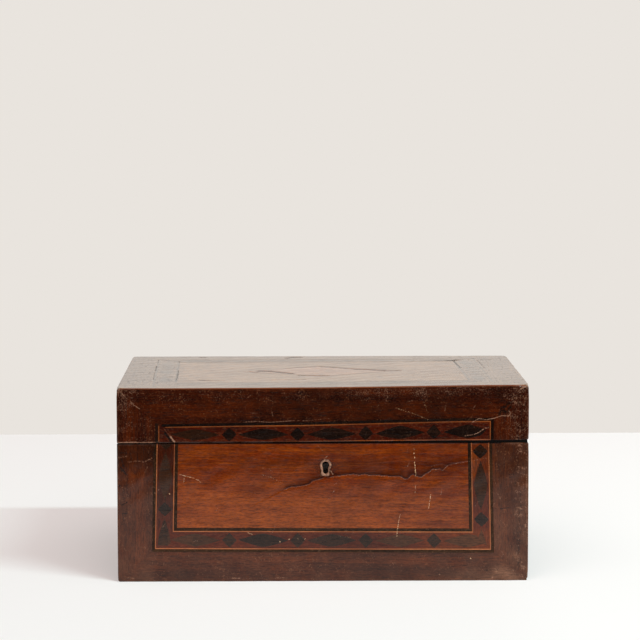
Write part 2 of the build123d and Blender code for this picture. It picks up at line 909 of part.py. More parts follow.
with BuildPart() as lid_front_border:
    add(strips(front_face, [mitred_strip(side, lid_face, lid_rects[0]) for side in lid_sides]))
    fillet(outer_arrises(lid_front_border, -half_depth), arris_radius)
    add(seam_easing.part, mode=Mode.SUBTRACT)
save(lid_front_border, "lid_front_border")

with BuildPart() as lid_front_band:
    add(band_ground(front_face, lid_band))
    band_ends = [mitred_strip(side, lid_rects[2], lid_rects[3]) for side in ("left", "right")]
    add(strips(front_face, band_ends))
    add(seam_easing.part, mode=Mode.SUBTRACT)
save(lid_front_band, "lid_front_band")

for kind in leaf_shapes:
    with BuildPart() as lid_leaves:
        add(leaves(front_face, lid_band, kind, inlay_fit))
    save(lid_leaves, f"lid_front_{kind}s")

with BuildPart() as lid_front_ebony_lines:
    add(strips(front_face, [mitred_strip(side, lid_rects[0], lid_rects[1]) for side in lid_sides]))
    add(seam_easing.part, mode=Mode.SUBTRACT)
save(lid_front_ebony_lines, "lid_front_ebony_lines")

with BuildPart() as lid_front_boxwood_lines:
    add(strips(front_face, [mitred_strip(side, lid_rects[1], lid_rects[2]) for side in lid_sides]))
    add(rectangle(front_face, lid_edge_rect))
    add(seam_easing.part, mode=Mode.SUBTRACT)
save(lid_front_boxwood_lines, "lid_front_boxwood_lines")

# ---------------------------------------------------------------------------------------------
# Plain veneers on the sides and the back
# ---------------------------------------------------------------------------------------------


def side_veneer(sign, low, high):
    """A veneer on the left (-1) or right (+1) of the box, from the front veneer to the back."""
    with BuildPart() as leaf:
        with BuildSketch(Plane.YZ.offset(sign * (carcase_x + veneer / 2))):
            with Locations((veneer / 2, (low + high) / 2)):
                Rectangle(box_depth - veneer, high - low)
        extrude(amount=veneer / 2, both=True)
        fillet(outer_arrises(leaf, half_depth), arris_radius)
        add(back_bevels.part, mode=Mode.SUBTRACT)
    return leaf


def back_veneer(low, high):
    """The veneer on the back of the box, between the side ones."""
    with BuildPart() as leaf:
        with BuildSketch(Plane.XZ.offset(-carcase_y - veneer / 2)):
            with Locations((0, (low + high) / 2)):
                Rectangle(2 * carcase_x, high - low)
        extrude(amount=veneer / 2, both=True)
        add(back_bevels.part, mode=Mode.SUBTRACT)
        add(hinge_housings.part, mode=Mode.SUBTRACT)
    return leaf


for half, low, high in (("base", 0, base_height), ("lid", lid_bottom, board_top)):
    save(side_veneer(-1, low, high), f"{half}_left_veneer")
    save(side_veneer(1, low, high), f"{half}_right_veneer")
    save(back_veneer(low, high), f"{half}_back_veneer")

# ---------------------------------------------------------------------------------------------
# Veneers and inlay on the top of the lid
# ---------------------------------------------------------------------------------------------

ring_sides = ("left", "bottom", "right", "top")
rhombus_y = (top_rect[1] + top_rect[3]) / 2


def rhombus(margin):
    """The rhombus in the middle of the lid, grown by a margin all round, as a solid."""
    side = math.hypot(rhombus_half_length, rhombus_half_depth)
    apothem = rhombus_half_length * rhombus_half_depth / side
    share = 1 + margin / apothem
    with BuildPart() as leaf:
        with BuildSketch(top_face):
            Polygon(
                (-rhombus_half_length * share, rhombus_y),
                (0, rhombus_y - rhombus_half_depth * share),
                (rhombus_half_length * share, rhombus_y),
                (0, rhombus_y + rhombus_half_depth * share),
                align=None,
            )
        extrude(amount=veneer)
    return leaf.part


with BuildPart() as lid_top_border:
    add(strips(top_face, [mitred_strip(side, top_outline, top_rects[0]) for side in ring_sides]))
    top_edges = lid_top_border.edges().filter_by(Plane.XY).filter_by_position(Axis.Z, lid_top, lid_top)
    rim = [
        e
        for e in top_edges
        if is_near(abs(e.center().X), half_width) or is_near(abs(e.center().Y), half_depth)
    ]
    chamfer(rim, arris_radius)
save(lid_top_border, "lid_top_border")

with BuildPart() as lid_top_band:
    for band in top_bands.values():
        add(band_ground(top_face, band))
save(lid_top_band, "lid_top_band")

with BuildPart() as lid_top_inlays:
    for band in top_bands.values():
        for kind in leaf_shapes:
            add(leaves(top_face, band, kind, inlay_fit))
save(lid_top_inlays, "lid_top_inlays")

for stock, rings in (("ebony", ((0, 1), (4, 5))), ("boxwood", ((1, 2), (3, 4)))):
    with BuildPart() as top_lines:
        for outer, inner in rings:
            outlines = [mitred_strip(side, top_rects[outer], top_rects[inner]) for side in ring_sides]
            add(strips(top_face, outlines))
        if stock == "ebony":
            add(rhombus(rhombus_line))
            add(rhombus(0), mode=Mode.SUBTRACT)
    save(top_lines, f"lid_top_{stock}_lines")

with BuildPart() as lid_top_panel:
    add(rectangle(top_face, top_rects[5]))
    add(rhombus(rhombus_line), mode=Mode.SUBTRACT)
save(lid_top_panel, "lid_top_panel")

with BuildPart() as lid_top_rhombus:
    add(rhombus(0))
save(lid_top_rhombus, "lid_top_rhombus")

print(f"bolt travel {bolt_travel:.2f} mm, hinge axis at y {axis_y:.2f}, z {seam_z:.2f}")
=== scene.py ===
# %% [markdown]
# # A mahogany desk box with an inlaid front
# The box is a pine and mahogany carcase covered with thin leaves of veneer. A band of ebony lozenges
# and diamonds runs round the front between boxwood and ebony lines. The construction comes in as a
# fixed frame of named parts. This lesson dresses that frame: it keeps the parts whose shape is right,
# lays new worn veneers over the rest, and gives every part a finish made of nodes.

# %% Load the frame
import math
import bpy
import numpy as np
from mathutils import Matrix, Vector


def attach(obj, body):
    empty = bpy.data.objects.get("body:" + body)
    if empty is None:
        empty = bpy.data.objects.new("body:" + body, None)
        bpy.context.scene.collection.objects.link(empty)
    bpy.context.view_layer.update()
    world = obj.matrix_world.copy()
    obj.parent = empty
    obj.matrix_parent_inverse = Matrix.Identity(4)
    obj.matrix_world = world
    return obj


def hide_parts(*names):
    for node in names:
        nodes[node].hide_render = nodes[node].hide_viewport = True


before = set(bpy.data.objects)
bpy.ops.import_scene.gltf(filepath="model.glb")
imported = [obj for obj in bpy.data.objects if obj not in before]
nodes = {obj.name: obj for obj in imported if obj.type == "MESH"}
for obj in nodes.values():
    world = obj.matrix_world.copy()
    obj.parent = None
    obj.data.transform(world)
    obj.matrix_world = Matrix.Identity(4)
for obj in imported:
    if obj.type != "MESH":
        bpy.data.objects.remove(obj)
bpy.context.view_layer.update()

mm = 0.001

# %% [markdown]
# ## The camera
# A still life is best taken from far away with a long lens, so that the sides of the box stay nearly
# parallel. The camera stands 2.2 m in front and a little above the lid. Its matrix is built from three
# small turns, which is easier to read than a target and a roll.

# %% Camera
def put_in_scene(name, data):
    """A new object of the scene that shows a camera, a lamp or a mesh."""
    made = bpy.data.objects.new(name, data)
    bpy.context.scene.collection.objects.link(made)
    return made


turn = math.radians(0.70)
dip = math.radians(5.32)
roll = math.radians(-0.08)
stand = Vector((-1, -2244, 422)) * mm

unturn = Matrix.Rotation(-turn, 3, "Z")
ahead = unturn @ Vector((0, math.cos(dip), -math.sin(dip)))
level = unturn @ Vector((1, 0, 0))
over = unturn @ Vector((0, math.sin(dip), math.cos(dip)))
right = level * math.cos(roll) + over * math.sin(roll)
above = over * math.cos(roll) - level * math.sin(roll)

lens = bpy.data.cameras.new("lens")
lens.sensor_width = 36
lens.lens = 142.2
lens.clip_end = 50
camera = put_in_scene("camera", lens)
axes = Matrix((right, above, -ahead)).transposed().to_4x4()
camera.matrix_world = Matrix.Translation(unturn @ stand) @ axes
bpy.context.scene.camera = camera
bpy.context.scene.view_settings.view_transform = "Standard"
print("camera at", [round(v, 3) for v in camera.location])

# %% [markdown]
# ## The table, the room and the light
# The floor is a white table top that stops a little way in front of the box. Its finish glows a little,
# a painted light that keeps the contact shadows next to the box light, and it glows more to the right
# of the box and behind it. Polished wood mirrors what lies before it, so the lower half of the front
# takes a grey veil from the table, and the lid, which looks over the table's edge into a dark room,
# stays deep and red. One long strip light stands to the front right. It runs parallel to the box, so
# shadows of level edges are sharp and shadows of upright edges are soft. A few helpers come first,
# since every shader is built in code.

# %% Node helpers
def paint(red, green, blue):
    """A colour of 0-255 display values, turned to the linear values that shaders add up."""
    return tuple(((v / 255 + 0.055) / 1.055) ** 2.4 for v in (red, green, blue)) + (1.0,)


def feed(tree, node, sockets):
    """Gives each named input of a node its value, or a link if the value is another node's output."""
    for key, value in sockets.items():
        if isinstance(value, bpy.types.NodeSocket):
            tree.links.new(value, node.inputs[key])
        else:
            node.inputs[key].default_value = value


def add(tree, kind, sockets=None, **settings):
    """One shader node with its settings and its inputs."""
    made = tree.nodes.new("ShaderNode" + kind)
    for key, value in settings.items():
        setattr(made, key, value)
    feed(tree, made, sockets or {})
    return made


def new_finish(name):
    """A new material with its node tree and its shader."""
    made = bpy.data.materials.new(name)
    made.use_nodes = True
    return made, made.node_tree, made.node_tree.nodes["Principled BSDF"]


def calc(tree, operation, *values):
    """A Math node on one to three values."""
    return add(tree, "Math", dict(enumerate(values)), operation=operation).outputs[0]


def add_up(tree, start, *terms):
    """The start plus the sum of each term's value times its share."""
    for value, share in terms:
        start = calc(tree, "MULTIPLY_ADD", value, share, start)
    return start


def fade(tree, value, low, high, start=0.0, end=1.0):
    """A soft step: start below low, end above high."""
    sockets = {"Value": value, "From Min": low, "From Max": high, "To Min": start, "To Max": end}
    return add(tree, "MapRange", sockets, interpolation_type="SMOOTHSTEP").outputs["Result"]


def mix(tree, share, under, over):
    """One colour laid over another, by a share from 0 to 1."""
    return add(tree, "Mix", {0: share, 6: under, 7: over}, data_type="RGBA").outputs[2]


def stretched(tree, vector, along, across, through, detail=2.0, roughness=0.55):
    """Noise whose cells are 1/along by 1/across by 1/through metres, as a value near 0.5."""
    scaled = add(tree, "VectorMath", {0: vector, 1: (along, across, through)}, operation="MULTIPLY")
    sockets = {"Vector": scaled.outputs[0], "Scale": 1.0, "Detail": detail, "Roughness": roughness}
    return add(tree, "TexNoise", sockets).outputs["Fac"]


print("helpers ready; mid grey", [round(v, 3) for v in paint(128, 128, 128)[:3]])

# %% [markdown]
# The room is one shader on the world. It gives each kind of ray its own answer: the camera sees the
# pale wall, polish mirrors that wall behind the box and a dark room before it, and matt surfaces
# gather the soft light above.

# %% Room light
wall_colour = paint(233, 228, 222)
room = bpy.data.worlds.new("room")
room.use_nodes = True
bpy.context.scene.world = room
tree = room.node_tree
tree.nodes.clear()
gaze = add(tree, "TexCoord").outputs["Generated"]
split = add(tree, "SeparateXYZ", {0: gaze}).outputs
beside = calc(tree, "ABSOLUTE", split["X"])
lean = add_up(tree, calc(tree, "MULTIPLY", split["Z"], 0.66), (split["Y"], -0.75), (beside, -0.5))
soft = mix(tree, fade(tree, lean, 0.2, 0.75), (0.06, 0.055, 0.05, 1), (1.86, 1.56, 1.49, 1))
behind = fade(tree, split["Y"], -0.15, 0.25)
mirrored = mix(tree, behind, (0.002, 0.002, 0.002, 1), wall_colour)
ray = add(tree, "LightPath").outputs
studio = mix(tree, ray["Is Glossy Ray"], soft, mirrored)
colour = mix(tree, ray["Is Camera Ray"], studio, wall_colour)
glow = add(tree, "Background", {"Color": colour, "Strength": 1.0})
add(tree, "OutputWorld", {"Surface": glow.outputs[0]})
print("room: wall", [round(v, 2) for v in wall_colour[:3]])

# %% [markdown]
# The strip light is an area lamp, long one way and narrow the other. The table is one sheet with a
# little emission, a painted light that takes the place of lamps below it.

# %% Strip light and table
strip = bpy.data.lights.new("strip", "AREA")
strip.shape = "RECTANGLE"
strip.size = 3.1
strip.size_y = 0.21
strip.energy = 176
strip.color = (0.76, 1.0, 1.0)
strip_at = Vector((2.76, -2.24, 2.8))
lamp = put_in_scene("strip", strip)
outwards = Vector((0, strip_at.y, strip_at.z)).normalized()
length_way = Vector((1, 0, 0))
lamp_axes = Matrix((length_way, outwards.cross(length_way), outwards)).transposed().to_4x4()
lamp.matrix_world = Matrix.Translation(strip_at) @ lamp_axes

table_front, table_back, table_half = -0.65, 0.80, 2.4
corners = [
    (-table_half, table_front, 0), (table_half, table_front, 0),
    (table_half, table_back, 0), (-table_half, table_back, 0),
]
table_mesh = bpy.data.meshes.new("table")
table_mesh.from_pydata(corners, [], [(0, 1, 2, 3)])
table = put_in_scene("table", table_mesh)
table_finish, tree, shader = new_finish("table_glowing")
# Painted light: the table's glow rises by a tenth to the right of the box and by an eighth behind it.
split = add(tree, "SeparateXYZ", {0: add(tree, "TexCoord").outputs["Object"]}).outputs
beside = fade(tree, split["X"], 0.10, 0.22, 1.0, 1.1)
glow_behind = fade(tree, split["Y"], -0.05, 0.20, 1.0, 1.13)
sockets = {0: (0.29, 0.28, 0.275), "Scale": calc(tree, "MULTIPLY", beside, glow_behind)}
table_glow = add(tree, "VectorMath", sockets, operation="SCALE").outputs[0]
feed(tree, shader, {
    "Base Color": (0.62, 0.62, 0.62, 1), "Emission Color": table_glow, "Emission Strength": 1.0,
    "Roughness": 0.9, "Specular IOR Level": 0.1,
})
table_mesh.materials.append(table_finish)
print("table from", table_front, "to", table_back)

# %% [markdown]
# ## What the wood has in common
# Every timber here shows broad tone bands, fine streaks and dark pores, all drawn out along the
# grain. They could be painted, but a few layers of stretched noise give them at any size. The layers
# sit in one node group, fed with a vector whose first number runs along the grain. Each finish
# places the group with its own colours.

# %% Node group for timber
def group(name, inputs, outputs):
    """An empty node group with named value inputs and outputs, and its two end nodes."""
    made = bpy.data.node_groups.new(name, "ShaderNodeTree")
    for label, kind in inputs.items():
        made.interface.new_socket(name=label, in_out="INPUT", socket_type="NodeSocket" + kind)
    for label in outputs:
        made.interface.new_socket(name=label, in_out="OUTPUT", socket_type="NodeSocketFloat")
    return made, made.nodes.new("NodeGroupInput").outputs, made.nodes.new("NodeGroupOutput").inputs


timber, given, put = group(
    "timber", {"Grain": "Vector"}, ("Tone", "Streak", "Pore", "Ripple", "Grit", "Fleck")
)
wander = calc(timber, "SUBTRACT", stretched(timber, given["Grain"], 10, 28, 3, 2), 0.5)
sideways = add(timber, "CombineXYZ", {"Y": calc(timber, "MULTIPLY", wander, 0.010)}).outputs[0]
bent = add(timber, "VectorMath", {0: given["Grain"], 1: sideways}).outputs[0]
layers = {
    "Tone": (4.5, 85, 1, 6, 0.34, 0.66),
    "Streak": (18, 480, 1, 5, 0.43, 0.60),
    "Pore": (70, 800, 1, 3, 0.55, 0.66),
    "Ripple": (60, 30, 1, 2, 0.30, 0.70),
    "Grit": (220, 1000, 1, 3, 0.42, 0.62),
    "Fleck": (300, 760, 9, 3, 0.50, 0.68),
}
for label, (along, across, through, detail, low, high) in layers.items():
    value = fade(timber, stretched(timber, bent, along, across, through, detail, 0.65), low, high)
    timber.links.new(value, put[label])
print("timber group:", list(layers))

# %% [markdown]
# ## A hundred and fifty years of use
# Edges are rubbed, dust lies in the pores, and the polish has dark patches and light specks; the specks
# are scuffs and painted glints together. All of it follows the place on the box, so this group reads the
# point's own position. The distance to the nearest arris is the middle one of the three distances to the
# faces of the box: on a face one of the three is nought, and the next is the way to the nearest edge.
# The group also gives a painted shade on the boards along the seam between lid and base.

# %% Node group for handling
half_width, half_depth, lid_top = 175.0, 116.5, 168.3
base_top, lid_bottom, seam_height = 118.8, 119.2, 119.0
inner_width, inner_depth, inner_top = 173.8, 115.3, 167.1
leaf_thick = 1.2

handling, given, put = group(
    "handling", {"Place": "Vector"}, ("Rub", "SpeckAndGlint", "Blotch", "Seam", "Crumb")
)
place = given["Place"]
parts = add(handling, "SeparateXYZ", {0: place}).outputs
from_side = calc(handling, "SUBTRACT", half_width * mm, calc(handling, "ABSOLUTE", parts["X"]))
from_face = calc(handling, "SUBTRACT", half_depth * mm, calc(handling, "ABSOLUTE", parts["Y"]))
from_top = calc(handling, "SUBTRACT", lid_top * mm, parts["Z"])
from_end = calc(handling, "MINIMUM", parts["Z"], from_top)
nearer = calc(handling, "MINIMUM", from_side, from_face)
farther = calc(handling, "MAXIMUM", from_side, from_face)
arris = calc(handling, "MAXIMUM", nearer, calc(handling, "MINIMUM", farther, from_end))
off_seam = calc(handling, "ABSOLUTE", calc(handling, "SUBTRACT", parts["Z"], seam_height * mm))
edge = calc(handling, "MINIMUM", arris, off_seam)
chew = stretched(handling, place, 160, 160, 160, 4, 0.7)
reach = calc(handling, "MULTIPLY_ADD", chew, -0.007, edge)
cloud = stretched(handling, place, 22, 22, 26, 6, 0.72)
fleck = stretched(handling, place, 700, 700, 700, 2, 0.5)
swarm = fade(handling, stretched(handling, place, 60, 60, 60, 4, 0.7), 0.44, 0.60, 0.15, 1.0)
# Seam is a painted shade: on the outside of the boards, next to the seam between lid and base, they turn
# near black.
gap = fade(handling, off_seam, 0.002, 0.006, 1.0, 0.0)
outside = fade(handling, nearer, 0.004, 0.009, 1.0, 0.0)
handled = {
    "Rub": fade(handling, reach, -0.0042, -0.0016, 1.0, 0.0),
    # Light specks: scuffs and painted glints together.
    "SpeckAndGlint": calc(handling, "MULTIPLY", fade(handling, fleck, 0.60, 0.68), swarm),
    "Crumb": stretched(handling, place, 850, 850, 850, 3, 0.75),
    "Blotch": fade(handling, cloud, 0.40, 0.64),
    "Seam": calc(handling, "MULTIPLY", gap, outside),
}
for label, value in handled.items():
    handling.links.new(value, put[label])
print("handling group:", list(handled))

# %% [markdown]
# ## Veneers and timbers
# One function makes every wooden finish. It reads the grain either from the leaf's own UV map, which
# lies along the cut of each strip, or from the position for the sawn boards. Five marks can be stored
# on a leaf. Tint and shade are soft washes, and the shade wash also holds the painted shade above a
# break. Soot and painted shade in hollows, bare wood and a painted highlight along a break, and pale
# scratches are broken up into crumbs, the more the weaker they are, because dirt and chips never have
# a smooth outline. The old shellac is a thin film, so its gloss is set on the shader and varied a
# little by the wear.

# %% One wooden finish
def grain_along(tree, axis):
    """The grain vector: the leaf's UV map, or the position turned so that axis comes first."""
    if axis == "uv":
        return add(tree, "UVMap", uv_map="grain").outputs["UV"]
    place = add(tree, "TexCoord").outputs["Object"]
    parts = add(tree, "SeparateXYZ", {0: place}).outputs
    first, second, third = {"x": "XYZ", "y": "YZX"}[axis]
    across = calc(tree, "ADD", parts[second], calc(tree, "MULTIPLY", parts[third], 0.83))
    return add(tree, "CombineXYZ", {"X": parts[first], "Y": across, "Z": parts[third]}).outputs[0]


# The share called dust sets the light specks, which are scuffs and painted glints together.
usual = dict(
    gloss=0.10, shine=0.32, streak=0.6, pore=0.5, grit=0.45, fleck=0.25, wear=0.4, dust=0.3, grime=0.35,
    relief=0.2, seam=0.0, matt=0.06, stretch=(1, 1, 1), soot=(20, 10, 6), rubbed=(110, 76, 52),
    scuffed=(120, 88, 66), bare=(142, 108, 88), pale=(205, 165, 125),
)


def wood(name, axis, dark, middle, light, **how):
    """A wooden finish from three tones; how sets the film, the wear and the colours of the marks."""
    look = {**usual, "tint": light, **how}
    made, tree, shader = new_finish(name)
    grain = {0: grain_along(tree, axis), 1: look["stretch"]}
    grain = add(tree, "VectorMath", grain, operation="MULTIPLY").outputs[0]
    cut = add(tree, "Group", node_tree=timber)
    feed(tree, cut, {"Grain": grain})
    use = add(tree, "Group", node_tree=handling)
    feed(tree, use, {"Place": add(tree, "TexCoord").outputs["Object"]})
    cut, use = cut.outputs, use.outputs
    mark = {}
    for label in ("tint", "shade", "soot", "bare", "pale"):
        mark[label] = add(tree, "Attribute", attribute_name=label).outputs["Fac"]
    for label in ("soot", "bare", "pale"):
        crumbled = fade(tree, add_up(tree, use["Crumb"], (mark[label], 0.5)), 0.64, 0.76)
        strength = calc(tree, "MINIMUM", calc(tree, "MULTIPLY", mark[label], 1.4), 1.0)
        mark[label] = calc(tree, "MULTIPLY", crumbled, strength)

    ramp = add(tree, "ValToRGB", {"Fac": cut["Tone"]})
    ramp.color_ramp.elements[0].color = paint(*dark)
    ramp.color_ramp.elements[1].color = paint(*light)
    ramp.color_ramp.elements.new(0.5).color = paint(*middle)
    colour = ramp.outputs["Color"]
    steps = (
        (cut["Streak"], look["streak"], dark),
        (cut["Ripple"], look["streak"] * 0.35, light),
        (mark["tint"], 1.0, look["tint"]),
        (cut["Grit"], look["grit"], look["soot"]),
        (cut["Fleck"], look["fleck"], look["rubbed"]),
        (cut["Pore"], look["pore"], look["soot"]),
        (use["Blotch"], look["grime"], look["soot"]),
        (use["Rub"], look["wear"], look["rubbed"]),
        (use["SpeckAndGlint"], look["dust"], look["scuffed"]),
        (mark["shade"], 1.0, look["soot"]),
        (mark["soot"], 1.0, look["soot"]),
        (mark["bare"], 1.0, look["bare"]),
        (mark["pale"], 1.0, look["pale"]),
        # Painted shade: the boards go near black along the seam.
        (use["Seam"], look["seam"], (5, 3, 2)),
    )
    for value, share, over in steps:
        colour = mix(tree, calc(tree, "MULTIPLY", value, share), colour, paint(*over))
    dull = ((use["Rub"], 0.22), (use["Blotch"], 0.04), (cut["Pore"], 0.10), (mark["soot"], look["matt"]))
    height = add_up(tree, cut["Ripple"], (cut["Pore"], -0.6), (cut["Streak"], -0.25), (use["SpeckAndGlint"], 0.4))
    bump = add(tree, "Bump", {"Height": height, "Strength": look["relief"], "Distance": 0.00012})
    feed(tree, shader, {
        "Base Color": colour, "Specular IOR Level": look["shine"], "Normal": bump.outputs["Normal"],
        "Roughness": add_up(tree, look["gloss"], *dull),
    })
    return made


print("a wooden finish has", len(usual) + 1, "settings besides its three tones")

# %% [markdown]
# The box needs thirteen woods on its outside and in its boards. The base has a lighter and cleaner
# front than the lid, so most woods of the inlay come twice. The top has been bleached by the light: its
# woods share one dusty film and differ only in their tones, which lets a loop make them.

# %% All woods
def tones_of(*values):
    """Three colours from nine values."""
    return values[:3], values[3:6], values[6:]


boxwood_wear = dict(streak=0.3, pore=0.3, grit=0.2, gloss=0.16)
veneers = {
    "veneer_panel": (tones_of(82, 24, 1, 106, 36, 1, 134, 60, 5), dict(
        soot=(42, 13, 3), streak=0.9, rubbed=(118, 60, 30), scuffed=(136, 76, 40), grime=0.3, dust=0.1,
        wear=0.3, tint=(142, 65, 12),
    )),
    "veneer_border": (tones_of(52, 18, 3, 67, 26, 5, 88, 37, 9), dict(
        soot=(22, 8, 3), grit=0.4, rubbed=(100, 60, 36), scuffed=(114, 74, 50), tint=(146, 104, 80),
        dust=0.4, bare=(140, 100, 78),
    )),
    "veneer_lid_border": (tones_of(35, 7, 1, 49, 13, 1, 72, 25, 3), dict(
        shine=0.26, soot=(14, 5, 1), rubbed=(94, 50, 26), scuffed=(112, 72, 46), dust=0.34,
        tint=(84, 32, 6), bare=(134, 100, 80),
    )),
    "veneer_ground": (tones_of(62, 16, 2, 78, 26, 5, 94, 34, 8), dict(
        soot=(26, 10, 3), dust=0.15, rubbed=(104, 60, 40), scuffed=(110, 62, 40), grime=0.3,
        tint=(116, 52, 15),
    )),
    "veneer_lid_ground": (tones_of(48, 9, 1, 63, 16, 1, 80, 24, 3), dict(
        soot=(16, 6, 2), dust=0.2, scuffed=(104, 66, 44), shine=0.26,
    )),
    "ebony": (tones_of(22, 10, 5, 35, 18, 9, 50, 28, 14), dict(
        soot=(12, 7, 5), dust=0.2, grime=0.2, rubbed=(64, 46, 34), scuffed=(80, 60, 46), tint=(76, 42, 21),
    )),
    "lid_ebony": (tones_of(12, 6, 4, 22, 11, 7, 36, 19, 12), dict(
        soot=(7, 4, 3), rubbed=(52, 36, 26), scuffed=(70, 50, 36), tint=(52, 26, 10), grime=0.2, shine=0.2,
    )),
    "ebony_line": (tones_of(30, 16, 6, 46, 26, 10, 62, 38, 18), dict(
        soot=(14, 7, 3), shine=0.14, gloss=0.14, dust=0.2,
    )),
    "boxwood": (tones_of(126, 66, 34, 152, 86, 48, 172, 104, 60), dict(soot=(86, 36, 10), **boxwood_wear)),
    "lid_boxwood": (tones_of(96, 44, 14, 126, 62, 20, 146, 78, 28), dict(soot=(44, 18, 6), **boxwood_wear)),
    "veneer_side": (tones_of(50, 19, 5, 68, 29, 9, 92, 44, 16), dict(
        gloss=0.14, shine=0.4, rubbed=(110, 76, 50), soot=(20, 8, 4), grit=0.4, wear=0.5,
    )),
}
woods = {name: wood(name, "uv", *tones, **how) for name, (tones, how) in veneers.items()}
# Only the boards take the painted shade along the seam, with seam=1.0.
for name, axis in (("carcase_board", "x"), ("carcase_end_board", "y")):
    woods[name] = wood(
        name, axis, *tones_of(88, 56, 34, 116, 78, 50, 140, 100, 68), gloss=0.62, shine=0.12, seam=1.0,
        soot=(30, 18, 10), streak=0.35, grime=0.45,
    )
dusty = dict(
    gloss=0.09, shine=0.55, relief=0.12, soot=(46, 26, 13), rubbed=(136, 84, 52), grime=0.25, matt=0.2,
    scuffed=(160, 118, 80), dust=0.2, grit=0.7, fleck=0.4, tint=(180, 138, 96), streak=0.9,
    bare=(104, 54, 30), stretch=(0.8, 0.5, 1),
)
bleached = {
    "top_border": tones_of(118, 80, 46, 148, 108, 66, 168, 128, 84),
    "top_ground": tones_of(108, 74, 44, 136, 99, 62, 154, 116, 78),
    "top_panel": tones_of(142, 94, 42, 172, 120, 62, 194, 144, 84),
    "top_rhombus": tones_of(160, 96, 48, 192, 122, 66, 212, 146, 92),
    "top_ebony": tones_of(70, 54, 32, 92, 72, 44, 110, 86, 56),
    "top_boxwood": tones_of(130, 92, 52, 156, 116, 72, 176, 136, 90),
}
for name, tones in bleached.items():
    woods[name] = wood(name, "uv", *tones, **dusty)
print("woods:", list(woods))

# %% [markdown]
# ## How a worn box gets its shape
# The carcase is kept as it came. Every leaf of veneer that shows is laid again as a thin closed
# shell: a grid of points on the face, a rim and a back. All the points then pass through the same
# two steps, so that neighbours still meet. First the inlay is set a little askew, as hand work is.
# Then the corners of the box are rubbed round, more at the knocked ones.

# %% Waves, steps and grids
def waves(points, size, seed):
    """Seven sine waves of about one size in random directions, added up, about -1 to 1."""
    draw = np.random.default_rng(seed)
    way = draw.normal(size=(7, points.shape[-1]))
    way /= np.linalg.norm(way, axis=1, keepdims=True)
    way *= 2 * np.pi / size * draw.uniform(0.6, 1.6, (7, 1))
    return np.sin(points @ way.T + draw.uniform(0, 2 * np.pi, 7)).sum(-1) / 3.5


def climb(value, start, width):
    """Climbs from 0 at start to 1 at start + width, (value - start) / width, and stays level outside;
    a width below nought climbs the other way."""
    return np.clip((value - start) / width, 0, 1)


def hollow(u, v):
    """Shallow hollows of a hand-scraped leaf, 0.04 (1 + waves) deep."""
    return 0.04 * (1 + waves(np.stack([u, v], -1), 22, 3))


def bell(value, width):
    """A bell curve, exp(-(value / width)^2)."""
    return np.exp(-((value / width) ** 2))


def spot(x, z, centre, size):
    """A soft spot round a centre, exp(-((x - cx) / sx)^2 - ((z - cz) / sz)^2)."""
    return np.exp(-(((x - centre[0]) / size[0]) ** 2) - ((z - centre[1]) / size[1]) ** 2)


def steps_along(length, step):
    """Shares from 0 to 1: even steps, and steps of 0.3 mm in the last 3 mm of each end."""
    if length < 9:
        return np.linspace(0, 1, max(3, round(length / step) + 1))
    ends = np.arange(0, 3, 0.3)
    middle = np.linspace(3, length - 3, round((length - 6) / step) + 1)
    return np.concatenate([ends, middle, length - ends[::-1]]) / length


def rectangle(x0, x1, y0, y1):
    """The four corners of a level rectangle, counted round from the lowest values."""
    return [(x0, y0), (x1, y0), (x1, y1), (x0, y1)]


def mitred(outer, inner, sides):
    """Strips between two rectangles; each side is the two corners it joins and its grain."""
    return [([outer[i], outer[j], inner[j], inner[i]], grain) for i, j, grain in sides]


near_side, far_side, left_side, right_side = (0, 1, "u"), (3, 2, "u"), (0, 3, "v"), (1, 2, "v")


def sheet_between(corners, step):
    """Grid between four corners A B C D: (1-s)(1-t)A + s(1-t)B + stC + (1-s)tD."""
    a, b, c, d = np.array(corners, float)
    s = steps_along(max(np.linalg.norm(b - a), np.linalg.norm(c - d)), step)[:, None, None]
    t = steps_along(max(np.linalg.norm(d - a), np.linalg.norm(c - b)), step)[None, :, None]
    return (1 - s) * (1 - t) * a + s * (1 - t) * b + s * t * c + (1 - s) * t * d


print("a 30 mm strip has", len(steps_along(30, 0.7)), "rows")

# %% [markdown]
# An arris could be rounded by a bevel on every leaf, but then the mitres would gape. Here each point
# near an edge of the whole box is moved onto a quarter circle, wherever the leaves meet.

# %% Rounding the corners
knocks = {
    "base": ((1, -1, base_top, 1.9), (1, -1, 0, 2.6), (-1, -1, 0, 1.3)),
    "lid": (
        (1, -1, lid_top, 2.6), (1, -1, lid_bottom, 1.9), (-1, -1, lid_top, 3.0), (-1, 1, lid_top, 1.2),
        (1, 1, lid_top, 1.0),
    ),
}


def lift(x, y):
    """How far the lid's lower edge stands up: rise(x) times the share of the way to the front, to the
    power 1.5, so most at the front right and nothing at the hinges."""
    rise = np.interp(x, [-175, -134, -19, 108, 175], [0.1, 0.1, 0.5, 1.5, 1.7])
    return rise * np.clip((half_depth - y) / (2 * half_depth), 0, 1) ** 1.5


arris_radius, uneven = 1.15, 0.28
base_rim_radius, lid_rim_radius = 0.55, 0.4


